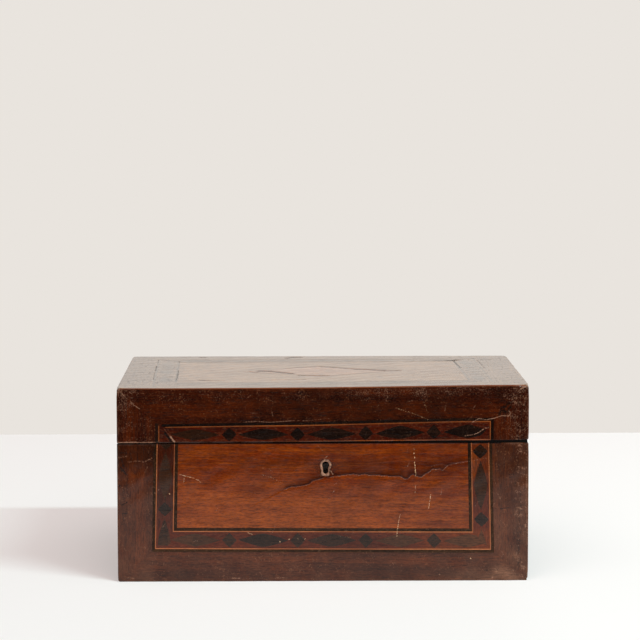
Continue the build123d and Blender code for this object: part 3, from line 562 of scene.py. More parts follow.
def rub_round(points, body):
    """Rounds the arrises: near two or three faces the depths u, v, w below a radius, counted from the
    inside, are scaled by the largest of them over their length, which turns a square into a quarter
    circle. The radius grows by size exp(-(distance / 7 mm)^2) at each knocked corner and wanders."""
    x, y, z = np.moveaxis(points, -1, 0)
    knock = 0
    for x_side, y_side, height, size in knocks[body]:
        away = points - np.array([x_side * half_width, y_side * half_depth, height])
        knock = knock + size * np.exp(-((away / 7) ** 2).sum(-1))
    radius = arris_radius + uneven * waves(points, 24, 5) + knock
    if body == "base":
        foot, head, foot_radius, head_radius = 0, base_top, radius, base_rim_radius + 0.6 * knock
    else:
        foot, head = lid_bottom + lift(x, y), lid_top
        foot_radius, head_radius = lid_rim_radius + 0.6 * knock, radius
    low = (z - foot) < (head - z)
    radii = np.stack([radius, radius, np.where(low, foot_radius, head_radius)], -1)
    gaps = np.stack([half_width - abs(x), half_depth - abs(y), np.where(low, z - foot, head - z)], -1)
    inner = np.clip(1 - gaps / radii, 0, 1)
    length = np.linalg.norm(inner, axis=-1, keepdims=True)
    inner = np.where(inner > 0, inner * inner.max(-1, keepdims=True) / np.maximum(length, 1e-9), 0)
    gaps = np.where(inner > 0, radii * (1 - inner), gaps)
    ends = np.where(low, foot + gaps[..., 2], head - gaps[..., 2])
    return np.stack([
        np.sign(x) * (half_width - gaps[..., 0]), np.sign(y) * (half_depth - gaps[..., 1]), ends
    ], -1)


def sink(points):
    """The lid's top has sunk towards the front left: z falls by d(x) times the share of the way to the
    front, and by less and less over the 9.2 mm below the top."""
    x, y, z = np.moveaxis(points, -1, 0)
    deep = np.interp(x, [-175, -119, 0, 77, 130, 175], [2.0, 2.2, 1.7, 0.8, 0.1, 0])
    share = np.clip((half_depth - y) / (2 * half_depth), 0, 1) * climb(z, 159.1, 9.2)
    return np.stack([x, y, z - deep * share], -1)


corner = np.array([[half_width, -half_depth, lid_top]])
print("the front right corner goes to", rub_round(corner, "lid").round(2))

# %% [markdown]
# Nothing on an old box is quite level. The lid has warped a little, and the lines were laid by eye.
# Functions of the place shift the leaves, with nought left over at the box's own edges.

# %% Setting the inlay askew
def askew_base(x, z):
    """The side lines lean in towards the top, and the bottom lines sink to the right."""
    inside = climb(abs(x), half_width, -30)
    sunk = np.interp(z, [0, 24.9, 46, 90], [0, 1, 1, 0])
    return x * (1 - 0.00016 * (z - 60) * inside), z - 0.0059 * (x - 15) * sunk


def askew_lid(x, z):
    """The lid's lines rise to the right; three heights have their own measured rise."""
    low = lift(x, -half_depth)
    middle = np.interp(x, [-134, -50, -20, 36, 80, 120], [-0.4, -0.7, -0.8, -0.2, 0.45, 1.1])
    high = np.interp(x, [-175, -134, -62, -19, 112, 175], [-2.3, -2.1, -1.1, -0.8, 2.2, 2.6])
    first = climb(z, lid_bottom, 7.8)
    second = climb(z, 127, 8.5)
    third = climb(z, 137.7, 29.4)
    rise = low * (1 - first) + middle * (first - second) + high * (second - third)
    return x + np.interp(x, [-175, -160, -139, -129], [0, 2.7, 2.7, 0]), z + rise


def askew_side(x_side):
    """A lid side only follows the lifted lower edge."""
    def settle(u, z):
        """Moves z by the lift, which fades out over the lowest 20 mm."""
        y = u if x_side > 0 else -u
        return u, z + lift(x_side, y) * np.clip(1 - (z - lid_bottom) / 20, 0, 1)
    return settle


print("lid line rises by", askew_lid(np.array([-134, 112.0]), np.array([137.7, 137.7]))[1].round(1))

# %% [markdown]
# A leaf is worked out flat, in two lengths along its face and a depth. Only the last step turns these
# three into a point of the box, so the same code lays veneer on any of its faces.

# %% Closed leaves
box_faces = {
    "front": lambda u, v, d: (u, d - half_depth, v),
    "back": lambda u, v, d: (-u, half_depth - d, v),
    "left": lambda u, v, d: (d - half_width, -u, v),
    "right": lambda u, v, d: (half_width - d, u, v),
    "top": lambda u, v, d: (u, v, lid_top - d),
}


bevel_slope, bevel_start, squeezed_height = 1.12, 112.8, 9


def stop_bevel(points, body):
    """The bevels that stop the lid take t = slope times (y - start) off both meeting edges at the back;
    the height next to the edge is squeezed by t."""
    edge, way = (base_top, -1) if body == "base" else (lid_bottom, 1)
    taken = bevel_slope * np.clip(points[..., 1] - bevel_start, 0, None)
    near = np.clip(1 - abs(points[..., 2] - edge) / squeezed_height, 0, 1)
    return points + (way * taken * near)[..., None] * (0, 0, 1)


def on_face(face, body):
    """The way from a place on a face and a depth to a point of the worn box."""
    def place(u, v, d):
        """Two lengths along the face and a depth become x, y, z and pass through the wear."""
        points = rub_round(np.stack(np.broadcast_arrays(*box_faces[face](u, v, d)), -1), body)
        points = stop_bevel(points, body)
        return sink(points) if body == "lid" else points
    return place


def shell(u, v, depth, place, thick=leaf_thick, rows=3):
    """Closes a grid to a leaf: the grid at its depth, rows of rim down to the back, a fan behind."""
    index = np.arange(u.size).reshape(u.shape)
    ring = np.concatenate([index[:-1, 0], index[-1, :-1], index[:0:-1, -1], index[0, :0:-1]])
    ring_u, ring_v, ring_d = u.ravel()[ring], v.ravel()[ring], depth.ravel()[ring]
    level = np.linspace(0, 1, rows + 1)[1:, None]
    all_u = np.concatenate([u.ravel(), np.tile(ring_u, rows), [ring_u.mean()]])
    all_v = np.concatenate([v.ravel(), np.tile(ring_v, rows), [ring_v.mean()]])
    rim = (ring_d + (thick - ring_d) * level).ravel()
    points = place(all_u, all_v, np.concatenate([depth.ravel(), rim, [thick]]))
    face = np.stack([index[:-1, :-1], index[1:, :-1], index[1:, 1:], index[:-1, 1:]], -1).reshape(-1, 4)
    count = len(ring)
    rings = np.concatenate([[ring], u.size + np.arange(rows * count).reshape(rows, count)])
    after = np.roll(rings, -1, axis=1)
    wall = np.stack([rings[:-1], rings[1:], after[1:], after[:-1]], -1).reshape(-1, 4)
    fan = np.stack([rings[-1], np.full(count, len(points) - 1), after[-1]], -1)
    return points, face, wall, fan, np.stack([all_u, all_v], -1)


print("faces of the box:", list(box_faces))

# %% [markdown]
# A piece of the scene is one mesh with one finish. It says which body it rides on and which plain part it
# replaces. The marks are worked out for all its points at once and stored as attributes, so that one
# finish can serve every piece of the same wood.

# %% Pieces and leaves
def volume(points, faces):
    """Signed volume of a closed mesh: each face as a fan of triangles seen from the origin."""
    p = points[faces]
    return sum(
        (p[:, 0] * np.cross(p[:, k], p[:, k + 1])).sum() for k in range(1, faces.shape[1] - 1)
    ) / 6


def piece(name, shells, finish, body, replaced, marks=None, one_sheet=False):
    """Puts shells into one mesh, with faces turned outwards, the grain UV map and the marks."""
    seed = sum(map(ord, name)) % 97
    points, faces, grains, flats, start = [], [], [], [], 0
    for (corners, *kinds, flat), grain in shells:
        inside_out = sum(volume(corners, kind) for kind in kinds) < 0
        for kind in kinds:
            faces += ((kind[:, ::-1] if inside_out else kind) + start).tolist()
        points.append(corners)
        flats.append(flat)
        cut = seed if one_sheet else seed + len(points)
        grains.append((flat if grain == "u" else flat[:, ::-1]) * mm + (0.371 * cut, 0.137 * cut))
        start += len(corners)
    points, flats, grains = (np.concatenate(part) for part in (points, flats, grains))
    mesh = bpy.data.meshes.new(name)
    mesh.from_pydata(points * mm, [], faces)
    loops = np.empty(len(mesh.loops), np.int32)
    mesh.loops.foreach_get("vertex_index", loops)
    mesh.uv_layers.new(name="grain").data.foreach_set("uv", grains[loops].astype(np.float32).ravel())
    for label, value in (marks(*flats.T) if marks else {}).items():
        stored = mesh.attributes.new(label, "FLOAT", "POINT")
        stored.data.foreach_set("value", np.clip(value, 0, 1).astype(np.float32))
    mesh.shade_smooth()
    mesh.set_sharp_from_angle(angle=math.radians(40))
    mesh.materials.append(finish)
    made = put_in_scene(name, mesh)
    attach(made, body)
    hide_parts(*replaced)
    print(name, len(mesh.polygons), "faces")
    return made


def leaf(name, strips, finish, slot, node, face, body, step=0.7, depth=0.03, **more):
    """A veneer leaf in place of one part; each of its strips is four corners and a grain direction."""
    settle = more.get("settle") or (lambda u, v: (u, v))
    relief = more.get("relief") or (lambda u, v: 0)
    shells = []
    for corners, grain in strips:
        u, v = settle(*np.moveaxis(sheet_between(corners, step), -1, 0))
        thick = more.get("thick", leaf_thick)
        down = np.clip(depth + hollow(u, v) + relief(u, v), 0, thick - 0.05)
        shells.append((shell(u, v, down, on_face(face, body), thick), grain))
    shells += more.get("rings", [])
    return piece(name, shells, woods[finish], body, [node], more.get("marks"), more.get("one_sheet"))


print("pieces ride on the bodies", list(knocks))

# %% [markdown]
# ## Breaks, scratches and chips
# Scratches, cracks and chips all follow a path of points in millimetres. They could be painted on a
# map and wrapped round the box. Here the distance of every grid point to the path gives a strength
# instead, which stays sharp at any size. A stroke is a path with a width and a strength.

# %% Paths and strokes
def trail(x, z, path):
    """Distance of each point to a path of straight runs, and which side it is on: 1 is left of it."""
    near, side = np.full(np.shape(x), 1e9), np.ones(np.shape(x))
    for (ax, az), (bx, bz) in zip(path[:-1], path[1:]):
        along, up = bx - ax, bz - az
        share = np.clip(((x - ax) * along + (z - az) * up) / (along**2 + up**2), 0, 1)
        away = np.hypot(x - ax - share * along, z - az - share * up)
        turn = np.sign(along * (z - az) - up * (x - ax))
        side = np.where(away < near, turn, side)
        near = np.minimum(away, near)
    return near, side


def strokes(*rows):
    """Strokes from rows that hold a width, a strength and then the pairs of numbers of a path."""
    return [(list(zip(row[2::2], row[3::2])), row[0], row[1]) for row in rows]


def brush(x, z, painted):
    """Strength of the strokes at each point, the greatest of strength exp(-(distance / width)^2)."""
    ragged = 0.8 + 0.2 * waves(np.stack([x, z], -1), 2.4, 11)
    value = np.zeros(np.shape(x))
    for path, wide, strength in painted:
        near = trail(x, z, path)[0]
        value = np.maximum(value, strength * bell(near, wide))
    return value * ragged


def hairs(count, area, seed):
    """Short straight scratches at random places of an area, mostly leaning the same way."""
    draw = np.random.default_rng(seed)
    low_x, high_x, low_z, high_z = area
    start = draw.uniform((low_x, low_z), (high_x, high_z), (count, 2))
    angle = draw.normal(1.2, 0.7, count)
    run = draw.uniform(1, 7, count)[:, None] * np.stack([np.cos(angle), np.sin(angle)], -1)
    strength = draw.uniform(0.2, 0.75, count) ** 1.5
    return [([tuple(a), tuple(a + r)], 0.42, s) for a, r, s in zip(start, run, strength)]


def level_cracks(count, area, seed):
    """Short wavy cracks that follow the grain, as old polish makes over a sunken leaf."""
    draw = np.random.default_rng(seed)
    low_x, high_x, low_z, high_z = area
    start = draw.uniform((low_x, low_z), (high_x, high_z), (count, 2))
    step = draw.uniform((1.5, -0.9), (4, 0.9), (count, 3, 2))
    places = np.concatenate([start[:, None], start[:, None] + np.cumsum(step, 1)], 1)
    strength = draw.uniform(0.25, 0.6, count)
    return [([tuple(place) for place in path], 0.42, s) for path, s in zip(places, strength)]


print("a stroke:", strokes((0.5, 0.8, 0, 0, 10, 2))[0])

# %% [markdown]
# ## The break in the panel
# The panel's veneer has broken along one long wavy line, because the wood above it has shrunk back.
# Below the break the leaf has sunk, and above it the edge has curled out. So the break is a step in
# the surface first. The marks further down add a painted shade above it, a dark line on it that is
# dirt and painted shadow together, and a painted highlight on its lower lip.

# %% The break as a step
tear_left = [
    (-32.6, 79.1), (-28.9, 81), (-17.6, 82.3), (-12.1, 83.6), (-9, 86.2), (-4.9, 87.5), (-1.2, 88.5),
]
tear_right = [
    (5.5, 89.4), (8.4, 90.2), (19.2, 91.5), (25.8, 92.2), (31.2, 91.4), (35.5, 92.2), (39.9, 91.1),
    (47.6, 91.1), (55.2, 90.4), (61.7, 89.9), (66.1, 90.1), (69, 88.1), (72.3, 88), (74.5, 90.8),
    (76.7, 91.8), (78.8, 90.2), (83.7, 89.6), (86.4, 91.8), (90.3, 94), (93.5, 96.7), (96.2, 96.1),
    (99.5, 96.7), (101.2, 95.1), (105.8, 99.5), (112.4, 101.3), (119.6, 102.4), (126.1, 103.6),
    (130.3, 104.4), (135.1, 105.4), (139.3, 106),
]
tear_upper = [(88.4, 99), (92, 98.9), (96.8, 100.1), (101.6, 100.7), (105.2, 98.9)]
# Each break: its path, the depth of its step, and the strength of the painted highlight on its lip.
breaks = ((tear_left, 0.16, 0.4), (tear_right, 0.16, 0.5), (tear_upper, 0.08, 0.3))


def veneer_step(x, z):
    """Hollows at the breaks: below the path the leaf has sunk, above it the edge has curled out. Both
    are depths that fade with the distance n from the path, as 0.7 exp(-n / 1.6) and (1 - exp(-n / 2.5))
    times exp(-n / 20)."""
    down = 0
    for path, deep, _ in breaks:
        near, side = trail(x, z, path)
        below = 0.7 * deep * np.exp(-near / 1.6)
        behind = 0.8 * deep * (1 - np.exp(-near / 2.5)) * np.exp(-near / 20)
        down = down + np.where(side > 0, behind, below)
    return down


print("tear runs from x", tear_left[0][0], "to", tear_right[-1][0])

# %% [markdown]
# ## Scratches, chips and dirt
# The marks of the base and the lid are tables of strokes. Each row starts with a width and a strength,
# then come the points. Bare wood shows where the edge has chipped, soot lies in hollows, and pale
# scratches only cut the polish. Fine scratches and cracks without a place of their own are drawn by
# chance from a fixed seed.

# %% Marks of the base
base_bare = strokes(
    (0.75, 0.56, -173.5, 106.9, -166.1, 108.2),
    (0.65, 0.54, -166.1, 103.2, -157.7, 104.1, -151.8, 103.1, -145.2, 106.7),
    (0.8, 0.4, -172, 82, -166, 79.5), (0.7, 0.36, -163, 88, -161, 80),
    (0.6, 0.6, -167.1, 3.7, -161.1, 3.1), (0.6, 0.66, -78.3, 3, -71.1, 2.8),
    (0.5, 0.4, -66, 2.6, -30, 2.8), (0.6, 0.56, -40.4, 3.1, -32, 3.1), (0.9, 0.8, 144.2, 2.7, 144.8, 2.7),
    (0.7, 0.7, 99, 5.4, 99.6, 5.4), (0.8, 0.3, 152, 118.2, 174, 118),
    (0.5, 0.45, 151, 26.5, 154, 23, 152, 20), (1.1, 0.5, 163.5, 56, 165, 60),
    (1.0, 0.5, 168, 66, 169, 72), (0.9, 0.4, 171, 78, 170, 86), (1.0, 0.45, 165.5, 92, 167, 98),
    (0.7, 0.5, 172.6, 60, 173.2, 90), (0.6, 0.7, 5.8, 96.3, 8.5, 91.8),
)
base_soot = strokes(
    (1.5, 0.6, -172.5, 111, -166.4, 110.5), (1.4, 0.9, -169.7, 100, -169.7, 100.6),
    (1.3, 0.85, -171.6, 98.1, -167.4, 93), (1.0, 0.9, -171, 95.7, -171, 96.2),
    (0.9, 0.8, -167.4, 97.5, -167.4, 98), (1.1, 0.9, -172.9, 82.3, -172.9, 83),
    (1.0, 0.8, -171, 66.4, -166.7, 68.5), (0.9, 0.85, -171.1, 58.6, -166.8, 58.9),
    (2.6, 0.5, -171, 50, -167, 62, -170, 75, -166, 88, -170, 104), (3.0, 0.62, 167, 14, 168.6, 18),
    (3.2, 0.6, 166.6, 24, 167.6, 35), (2.6, 0.55, 166.2, 38.5, 167, 41.5), (2.8, 0.5, 167, 52, 168.6, 66),
    (2.4, 0.4, 170, 72, 166, 82), (0.75, 0.85, 151.1, 62.1, 157.9, 63),
    (0.7, 0.8, 145.6, 62.5, 147.7, 62.7), (0.65, 0.75, 158.2, 91.5, 162.5, 91.7),
    (0.65, 0.75, 158.2, 89.1, 161.6, 89.5), (0.9, 1.0, 8.6, 93.6, 12, 92), (0.7, 0.8, 6, 99, 7.4, 97),
)
base_pale = strokes(
    (0.48, 0.72, 77.8, 102.6, 78.2, 99, 78.8, 90.5), (0.42, 0.5, 78.8, 82.7, 78.2, 74.8),
    (0.4, 0.7, 91.6, 74.6, 91, 69.3, 90, 62.6),
    (0.42, 0.68, 65.6, 58, 64.4, 51.2, 63.2, 43.9, 62.7, 38.4),
    (0.42, 0.62, -122.6, 92.5, -116, 90.8, -110.1, 89.3, -105.5, 87.3, -103.9, 85.3),
    (0.42, 0.52, -118.1, 89.9, -118.5, 85.3), (0.42, 0.42, -52, 92, -44, 89.6, -36, 85.4),
    (0.42, 0.36, -46, 97, -42, 93.5), (0.6, 0.7, 77.4, 113.7, 77.4, 113.2),
    (0.65, 0.8, 77.4, 110.1, 77.4, 109.7), (0.65, 0.75, 77.8, 106.5, 77.8, 106.1),
    (0.6, 0.5, -52, 97.6, -50.6, 97.6), (0.5, 0.6, -64.2, 42.1, -60.3, 40.6),
    (0.7, 0.7, -36.7, 34, -36.7, 34.3), (0.7, 0.7, -28.9, 36.1, -28.9, 36.4),
    (0.7, 0.7, -21.6, 36.7, -21.6, 37), (0.7, 0.7, -15.6, 36.3, -15.6, 36.6),
    (0.7, 0.8, -130.5, 75.6, -130.5, 76), (0.7, 0.8, 125.8, 19.1, 125.8, 19.4),
    (0.4, 0.35, 11.6, 39.9, 16.4, 38.1, 23.6, 37.8),
)
base_soot += level_cracks(46, (12, 90, 62, 88), 9) + level_cracks(24, (-110, -20, 62, 100), 10)
base_bare += hairs(80, (-174, 174, 2, 117), 4)
base_bare += [([(-171.7, 81), (-169.2, 77.5), (-165.8, 73.2)], 1.6, 0.34)]


def base_marks(x, z):
    """All marks on the base's front: the break's painted highlight and painted shade, a painted shade along
    the top by the seam, scratches, chips and dirt.
    """
    dim, dark, lit = np.zeros((3, *np.shape(x)))
    speckle = 0.5 + 0.5 * waves(np.stack([x, z], -1), 2.4, 11)
    # Painted light along each break: a painted shade above it (dim), a dark line on it that is dirt and
    # painted shadow together (dark), and a painted highlight on its lower lip (lit).
    for path, deep, lip in breaks:
        near, side = trail(x, z, path)
        end = np.interp(x, [-40, -30, -5, 8, 88, 100, 126, 142], [0, 0.9, 1, 0.9, 0.95, 0.7, 0.3, 0.1])
        end = np.where(side > 0, end * min(1, 7 * deep), 0)
        shadow = 0.74 * bell(near, 3.6) + 0.2 * bell(near, 13)
        dim = np.maximum(dim, end * shadow)
        dark = np.maximum(dark, end * 0.85 * bell(near, 1.5))
        rim = np.where(side < 0, bell(near - 0.35, 0.42), 0)
        lit = np.maximum(lit, lip * rim * (0.6 + 0.4 * speckle))
    eye = np.hypot((x - 2.2) / 1.4, z - 97.5)
    ring = 0.6 * bell(eye - 5, 4.5) * (0.6 + 0.4 * speckle)
    soot = np.maximum(np.maximum(brush(x, z, base_soot), ring), dark)
    # Painted shade: a dark band along the top of the base, in the gap under the lid, short of the right
    # end.
    soot = np.maximum(soot, 0.95 * climb(z, 117.9, 0.5) * climb(x, 155, -6))
    bare = np.maximum(brush(x, z, base_bare), lit)
    return {"shade": dim, "soot": soot, "bare": bare, "pale": brush(x, z, base_pale)}


print("strokes on the base:", len(base_bare) + len(base_soot) + len(base_pale))

# %% [markdown]
# The lid has its own table: a chipped mitre at the right, a cracked one at the left, and one long
# crack above the ebony line.

# %% Marks of the lid
lid_bare = strokes(
    (0.45, 0.72, 126.7, 136.3, 132.6, 139.7, 138.6, 138.4, 145.8, 139.9, 151.8, 142, 157.8, 141.6),
    (0.5, 0.7, 157.8, 141.6, 159.5, 144.6, 157.7, 145.8), (0.7, 0.9, 173, 168.2, 171.4, 166.4, 168, 165),
    (0.6, 0.6, 174.6, 166.5, 172.6, 164), (0.55, 0.46, 169.6, 163.8, 163.7, 159.1, 158.9, 154.3),
    (0.5, 0.5, 152.4, 159.6, 155.3, 157, 158.9, 156.1),
    (0.45, 0.72, 120.7, 124.9, 127.9, 125.7, 132.7, 127.8, 136.8, 130.8, 141, 132),
    (0.6, 0.8, -170.2, 162, -168.6, 160.2), (0.45, 0.48, -168.6, 160.2, -166, 157.1, -162.6, 154.1),
    (0.42, 0.66, -162.6, 154.1, -158.4, 150.7, -155, 148.4),
    (0.5, 0.44, -134.7, 131.2, -131.9, 128, -129.6, 125.2),
    (0.85, 0.9, -129.6, 125.2, -127.8, 122.6, -125.9, 120.3),
    (0.42, 0.58, -67.9, 137, -55.9, 137.7, -45.2, 136.8, -38, 137.3, -26, 138.2),
    (0.42, 0.46, -26, 138.2, -11.7, 138.1, -2.1, 139.3, 5, 139.9), (0.7, 0.7, -135.7, 164, -135.2, 164),
    (0.6, 0.7, -121.4, 161.5, -120.9, 161.5), (0.7, 0.7, -97.6, 160.8, -97.1, 160.8),
    (0.6, 0.7, -70.1, 163.7, -69.6, 163.7), (0.7, 0.7, -33.1, 162.3, -32.5, 162.3),
    (0.6, 0.6, -20, 163.5, -19.4, 163.5),
)
lid_soot = strokes(
    (1.9, 0.75, 150, 143.5, 151.8, 148.3, 156.5, 151.3, 158.9, 153.1),
    (2.4, 0.75, 158.9, 149.4, 156.6, 144.6, 152.5, 146), (1.3, 1.0, -134, 128, -131, 124, -128.6, 120.4),
    (0.7, 0.4, -172, 160.8, -167, 155.4, -157.8, 147.6), (1.0, 0.5, 172.5, 164.5, 165, 158, 160.5, 153.4),
    (0.8, 0.6, 127, 137.6, 133, 141, 139, 139.8, 146, 141.3),
)
lid_pale = strokes(
    (0.42, 0.5, 62, 148.7, 68, 146.8, 74, 145, 83, 141.3, 89, 138.9),
    (0.42, 0.48, 85.3, 154, 87.1, 149.8, 89.3, 144.3),
)
lid_bare += hairs(50, (-172, 172, 140, 166), 9)


def lid_marks(x, z):
    """All marks on the lid's front: the chipped mitre at the right, cracks and scratches."""
    tables = {"bare": lid_bare, "soot": lid_soot, "pale": lid_pale}
    return {label: brush(x, z, painted) for label, painted in tables.items()}


def with_more(marks, **more):
    """Marks with further ones laid over; more gives a function of x and z for each label."""
    def both(x, z):
        """The greater of the two at each point."""
        found = marks(x, z)
        for label, shade in more.items():
            found[label] = np.maximum(found.get(label, 0), shade(x, z))
        return found
    return both


def inside(x, z, corners):
    """1 inside a polygon and 0 outside, by counting the edges a ray to the right would cross."""
    count = np.zeros(np.shape(x))
    for (ax, az), (bx, bz) in zip(corners, corners[1:] + corners[:1]):
        across = (az > z) != (bz > z)
        count += across & (x < ax + (z - az) * (bx - ax) / (bz - az + 1e-12))
    return count % 2


print("strokes on the lid:", len(lid_bare) + len(lid_soot) + len(lid_pale))

# %% [markdown]
# ## The inlaid front
# Strips of veneer are cut with mitred ends and laid side by side round the panel, from the outside
# in: border, ebony line, boxwood line, the band's ground, boxwood, ebony. Each strip is the sheet
# between four corners, so a whole frame is three or four such sheets at two distances from its edge.

# %% Frames of strips
frame_half, frame_foot, frame_head = 145.0, 24.9, 137.7
border_half, border_foot, border_head = 144.8, 25.1, 137.5
ebony_half, boxwood_half = 142.5, 141.55
ebony_head, boxwood_head = 135.2, 134.25
base_front = dict(face="front", body="base", settle=askew_base)
lid_front = dict(face="front", body="lid", settle=askew_lid)
strip_edges = {
    "ebony": ((0, 2.5), (18.15, 20.9)),
    "boxwood": ((2.5, 3.3), (17.35, 18.15)),
    "ground": ((3.3, 17.4),),
}


def base_strips(start, end):
    """Left, right and bottom strip between two distances inside the frame, open at the seam."""
    a, b = frame_half - start, frame_half - end
    outer = rectangle(-a, a, frame_foot + start, base_top)
    return mitred(outer, rectangle(-b, b, frame_foot + end, base_top), (left_side, right_side, near_side))


def lid_strips(start, end):
    """Left, right and top strip of the part of the frame that lies on the lid."""
    a, b = frame_half - start, frame_half - end
    outer = rectangle(-a, a, lid_bottom, frame_head - start)
    return mitred(outer, rectangle(-b, b, lid_bottom, frame_head - end), (left_side, right_side, far_side))


print("strips of the ground:", len(base_strips(*strip_edges["ground"][0])), "on the base")

# %% [markdown]
# The border and the ground of the band aren't one even brown. Polish has gone at the right and along
# the foot, the upper left is darker, and a wedge in the right band is lighter. Each of these is a
# small function of the place, and soft patches keep its edges from looking drawn.

# %% Tints and shades of the front
wedge = [(126.1, 113.3), (132.1, 107.8), (132.1, 101.8), (128, 86.1), (126.6, 86.1)]


def ground_tint(x, z):
    """A wedge of lighter wood in the right band, and lighter ground at the bottom right."""
    low = 0.4 * climb(x, 72, 20) * climb(z, 46, -4)
    side = 0.35 * climb(x, 126, 3) * climb(z, 84, 6)
    return np.maximum(0.9 * inside(x, z, wedge), low + side)


def ground_dim(x, z):
    """The left band is darker above its middle."""
    return 0.5 * climb(x, -120, -3) * climb(z, 58, 6)


def border_worn(x, z):
    """The border has lost more of its polish towards the right and along the bottom."""
    patch = 0.6 + 0.4 * waves(np.stack([x, z], -1), 26, 8)
    corner = 0.32 * climb(x, 80, 60) * climb(z, 14, -8)
    low = 0.07 * climb(z, 26, -4) + 0.08 * climb(x, -140, -4) * climb(z, 92, -20)
    right = 0.2 * climb(x, 120, 45) * np.clip((120 - z) / 70, 0.7, 1)
    return (low + right + corner) * patch


def mottle(x, z, size, seed):
    """Soft patches from 0 to 1 of about one size."""
    place = np.stack([x, z], -1)
    cloud = waves(place, size, seed) + 0.6 * waves(place, size / 2.3, seed + 1)
    return np.clip(0.25 + 0.5 * (cloud + 0.5 * waves(place, size / 5, seed + 2)), 0, 1)


def border_bare(x, z):
    """Crumbs of lost polish: in patches, over the right end, and round the bottom right corner."""
    corner = 0.4 * spot(x, z, (151, 7), (22, 6))
    right = 0.42 * climb(x, 158, 8) * mottle(x, z, 10, 26)
    return corner * mottle(x, z, 9, 25) + right + 0.12 * mottle(x, z, 18, 22)


def border_dark(x, z):
    """Dark mottling of the border."""
    return 0.3 * mottle(x, z, 14, 21)


def border_shade(x, z):
    """The left border is darker at its upper end."""
    return 0.55 * climb(x, -140, -4) * climb(z, 90, 14)


print("the lighter wedge has", len(wedge), "corners")

# %% [markdown]
# Now the strips become leaves. A node of the frame is one strip, so the ground and the border are
# made in loops over left, right and bottom.

# %% Leaves of the base's front
for strip, node in zip(base_strips(*strip_edges["ground"][0]), ("left", "right", "bottom")):
    leaf(
        "band_ground_" + node, [strip], "veneer_ground", "mahogany_ground", "front_band_" + node,
        depth=0.05, marks=with_more(base_marks, tint=ground_tint, shade=ground_dim), **base_front,
    )
outline = rectangle(-half_width, half_width, 0, base_top)
border_inside = rectangle(-border_half, border_half, frame_foot, base_top)
base_border = mitred(outline, border_inside, (left_side, right_side))
border_inside = rectangle(-frame_half, frame_half, border_foot, base_top)
base_border += mitred(outline, border_inside, (near_side,))
border_marks = with_more(
    base_marks, tint=border_worn, bare=border_bare, soot=border_dark, shade=border_shade
)
for strip, node in zip(base_border, ("left", "right", "bottom")):
    leaf(
        "border_" + node, [strip], "veneer_border", "mahogany_border", "front_border_" + node,
        marks=border_marks, **base_front,
    )
line_kinds = (("ebony", "ebony_line", 0.015, 95, 15), ("boxwood", "boxwood", 0.0, 45, 60))
for kind, finish, depth, low, width in line_kinds:
    leaf(
        kind + "_lines", [strip for edges in strip_edges[kind] for strip in base_strips(*edges)],
        finish, kind, f"front_{kind}_lines", depth=depth, **base_front,
        marks=with_more(base_marks, soot=lambda x, z: 0.45 * climb(z, low, width)),
    )

# %% [markdown]
# ## The inlaid lid
# The lid goes on with the same frame above the seam. It is darker than the base and more worn near its
# upper edge. At its left corner the lines don't meet in a clean mitre, so those strips have corners of
# their own.

# %% The lid's front
def lid_worn(x, z):
    """Lost polish on the lid: in patches, mostly near the upper edge, and along the lower edge, where the
    thin light line at the very edge is worn wood and a painted highlight together.
    """
    patches = (0.11 + 0.15 * mottle(x, z, 20, 32)) * np.clip((z - 142) / 16, 0.4, 1)
    upper = 0.1 * climb(z, 158, 3) * np.interp(x, [10, 40, 140, 155], [0, 1, 0.6, 0])
    ends = (0.08 + 0.2 * mottle(x / 1.5, z, 9, 33)) * climb(abs(x), 156, 6)
    edges = np.interp(x, [-160, -156, -147, -143, 143, 147, 158, 162], [0, 1, 1, 0, 0, 1, 1, 0.4])
    lower = 0.12 * climb(z, 152, -8) * edges
    # The last term is a thin light line at the lid's lower edge: worn wood and a painted highlight
    # together.
    return patches + upper + ends + lower + 0.32 * climb(z, 120.7, -0.6)


def lid_shade(x, z):
    """The polish is darkest low on the right half of the lid and high up at its ends."""
    low = 0.22 * climb(z, 157, -6) * np.interp(x, [-70, -30, 120, 145], [0, 1, 1, 0])
    high = 0.3 * climb(abs(x), 138, 12) * climb(z, 148, 6)
    return low + high * mottle(x, z / 2, 12, 35)


def lid_warm(x, z):
    """The lid's border is redder in the middle, in long streaks."""
    return 0.5 * mottle(x / 5, z, 9, 34) * climb(abs(x), 130, -40)


ground_foot = 120.4
lid_ground = [
    (rectangle(-141.6, 141.6, ground_foot, 134.3), "u"),
    (rectangle(-144.9, -134, 134.3, 138.2), "u"),
]
leaf(
    "lid_band_ground", lid_ground, "veneer_lid_ground", "mahogany_ground", "lid_front_band",
    depth=0.06, marks=lid_marks, **lid_front,
)
outline = rectangle(-half_width, half_width, lid_bottom, inner_top)
border_inside = rectangle(-border_half, border_half, lid_bottom, frame_head)
lid_border = mitred(outline, border_inside, (left_side, right_side))
border_inside = rectangle(-border_half, border_half, lid_bottom, border_head)
lid_border += mitred(outline, border_inside, (far_side,))
lid_border_marks = with_more(
    lid_marks, bare=lid_worn, tint=lid_warm, soot=lambda x, z: 0.3 * mottle(x / 2, z, 12, 31),
    shade=lid_shade,
)
leaf(
    "lid_border", lid_border, "veneer_lid_border", "mahogany_border", "lid_front_border",
    marks=lid_border_marks, **lid_front,
)
lid_ebony = lid_strips(*strip_edges["ebony"][0])
lid_ebony[0] = (
    [(-frame_half, lid_bottom), (-frame_half, 138.5), (-ebony_half, 138.3), (-ebony_half, lid_bottom)], "v"
)
lid_ebony[2] = (
    [(-139.5, 137.6), (frame_half, frame_head), (ebony_half, ebony_head), (-139.8, ebony_head)], "u"
)
leaf(
    "lid_ebony_lines", lid_ebony, "lid_ebony", "ebony", "lid_front_ebony_lines",
    depth=0.015, marks=lid_marks, **lid_front,
)
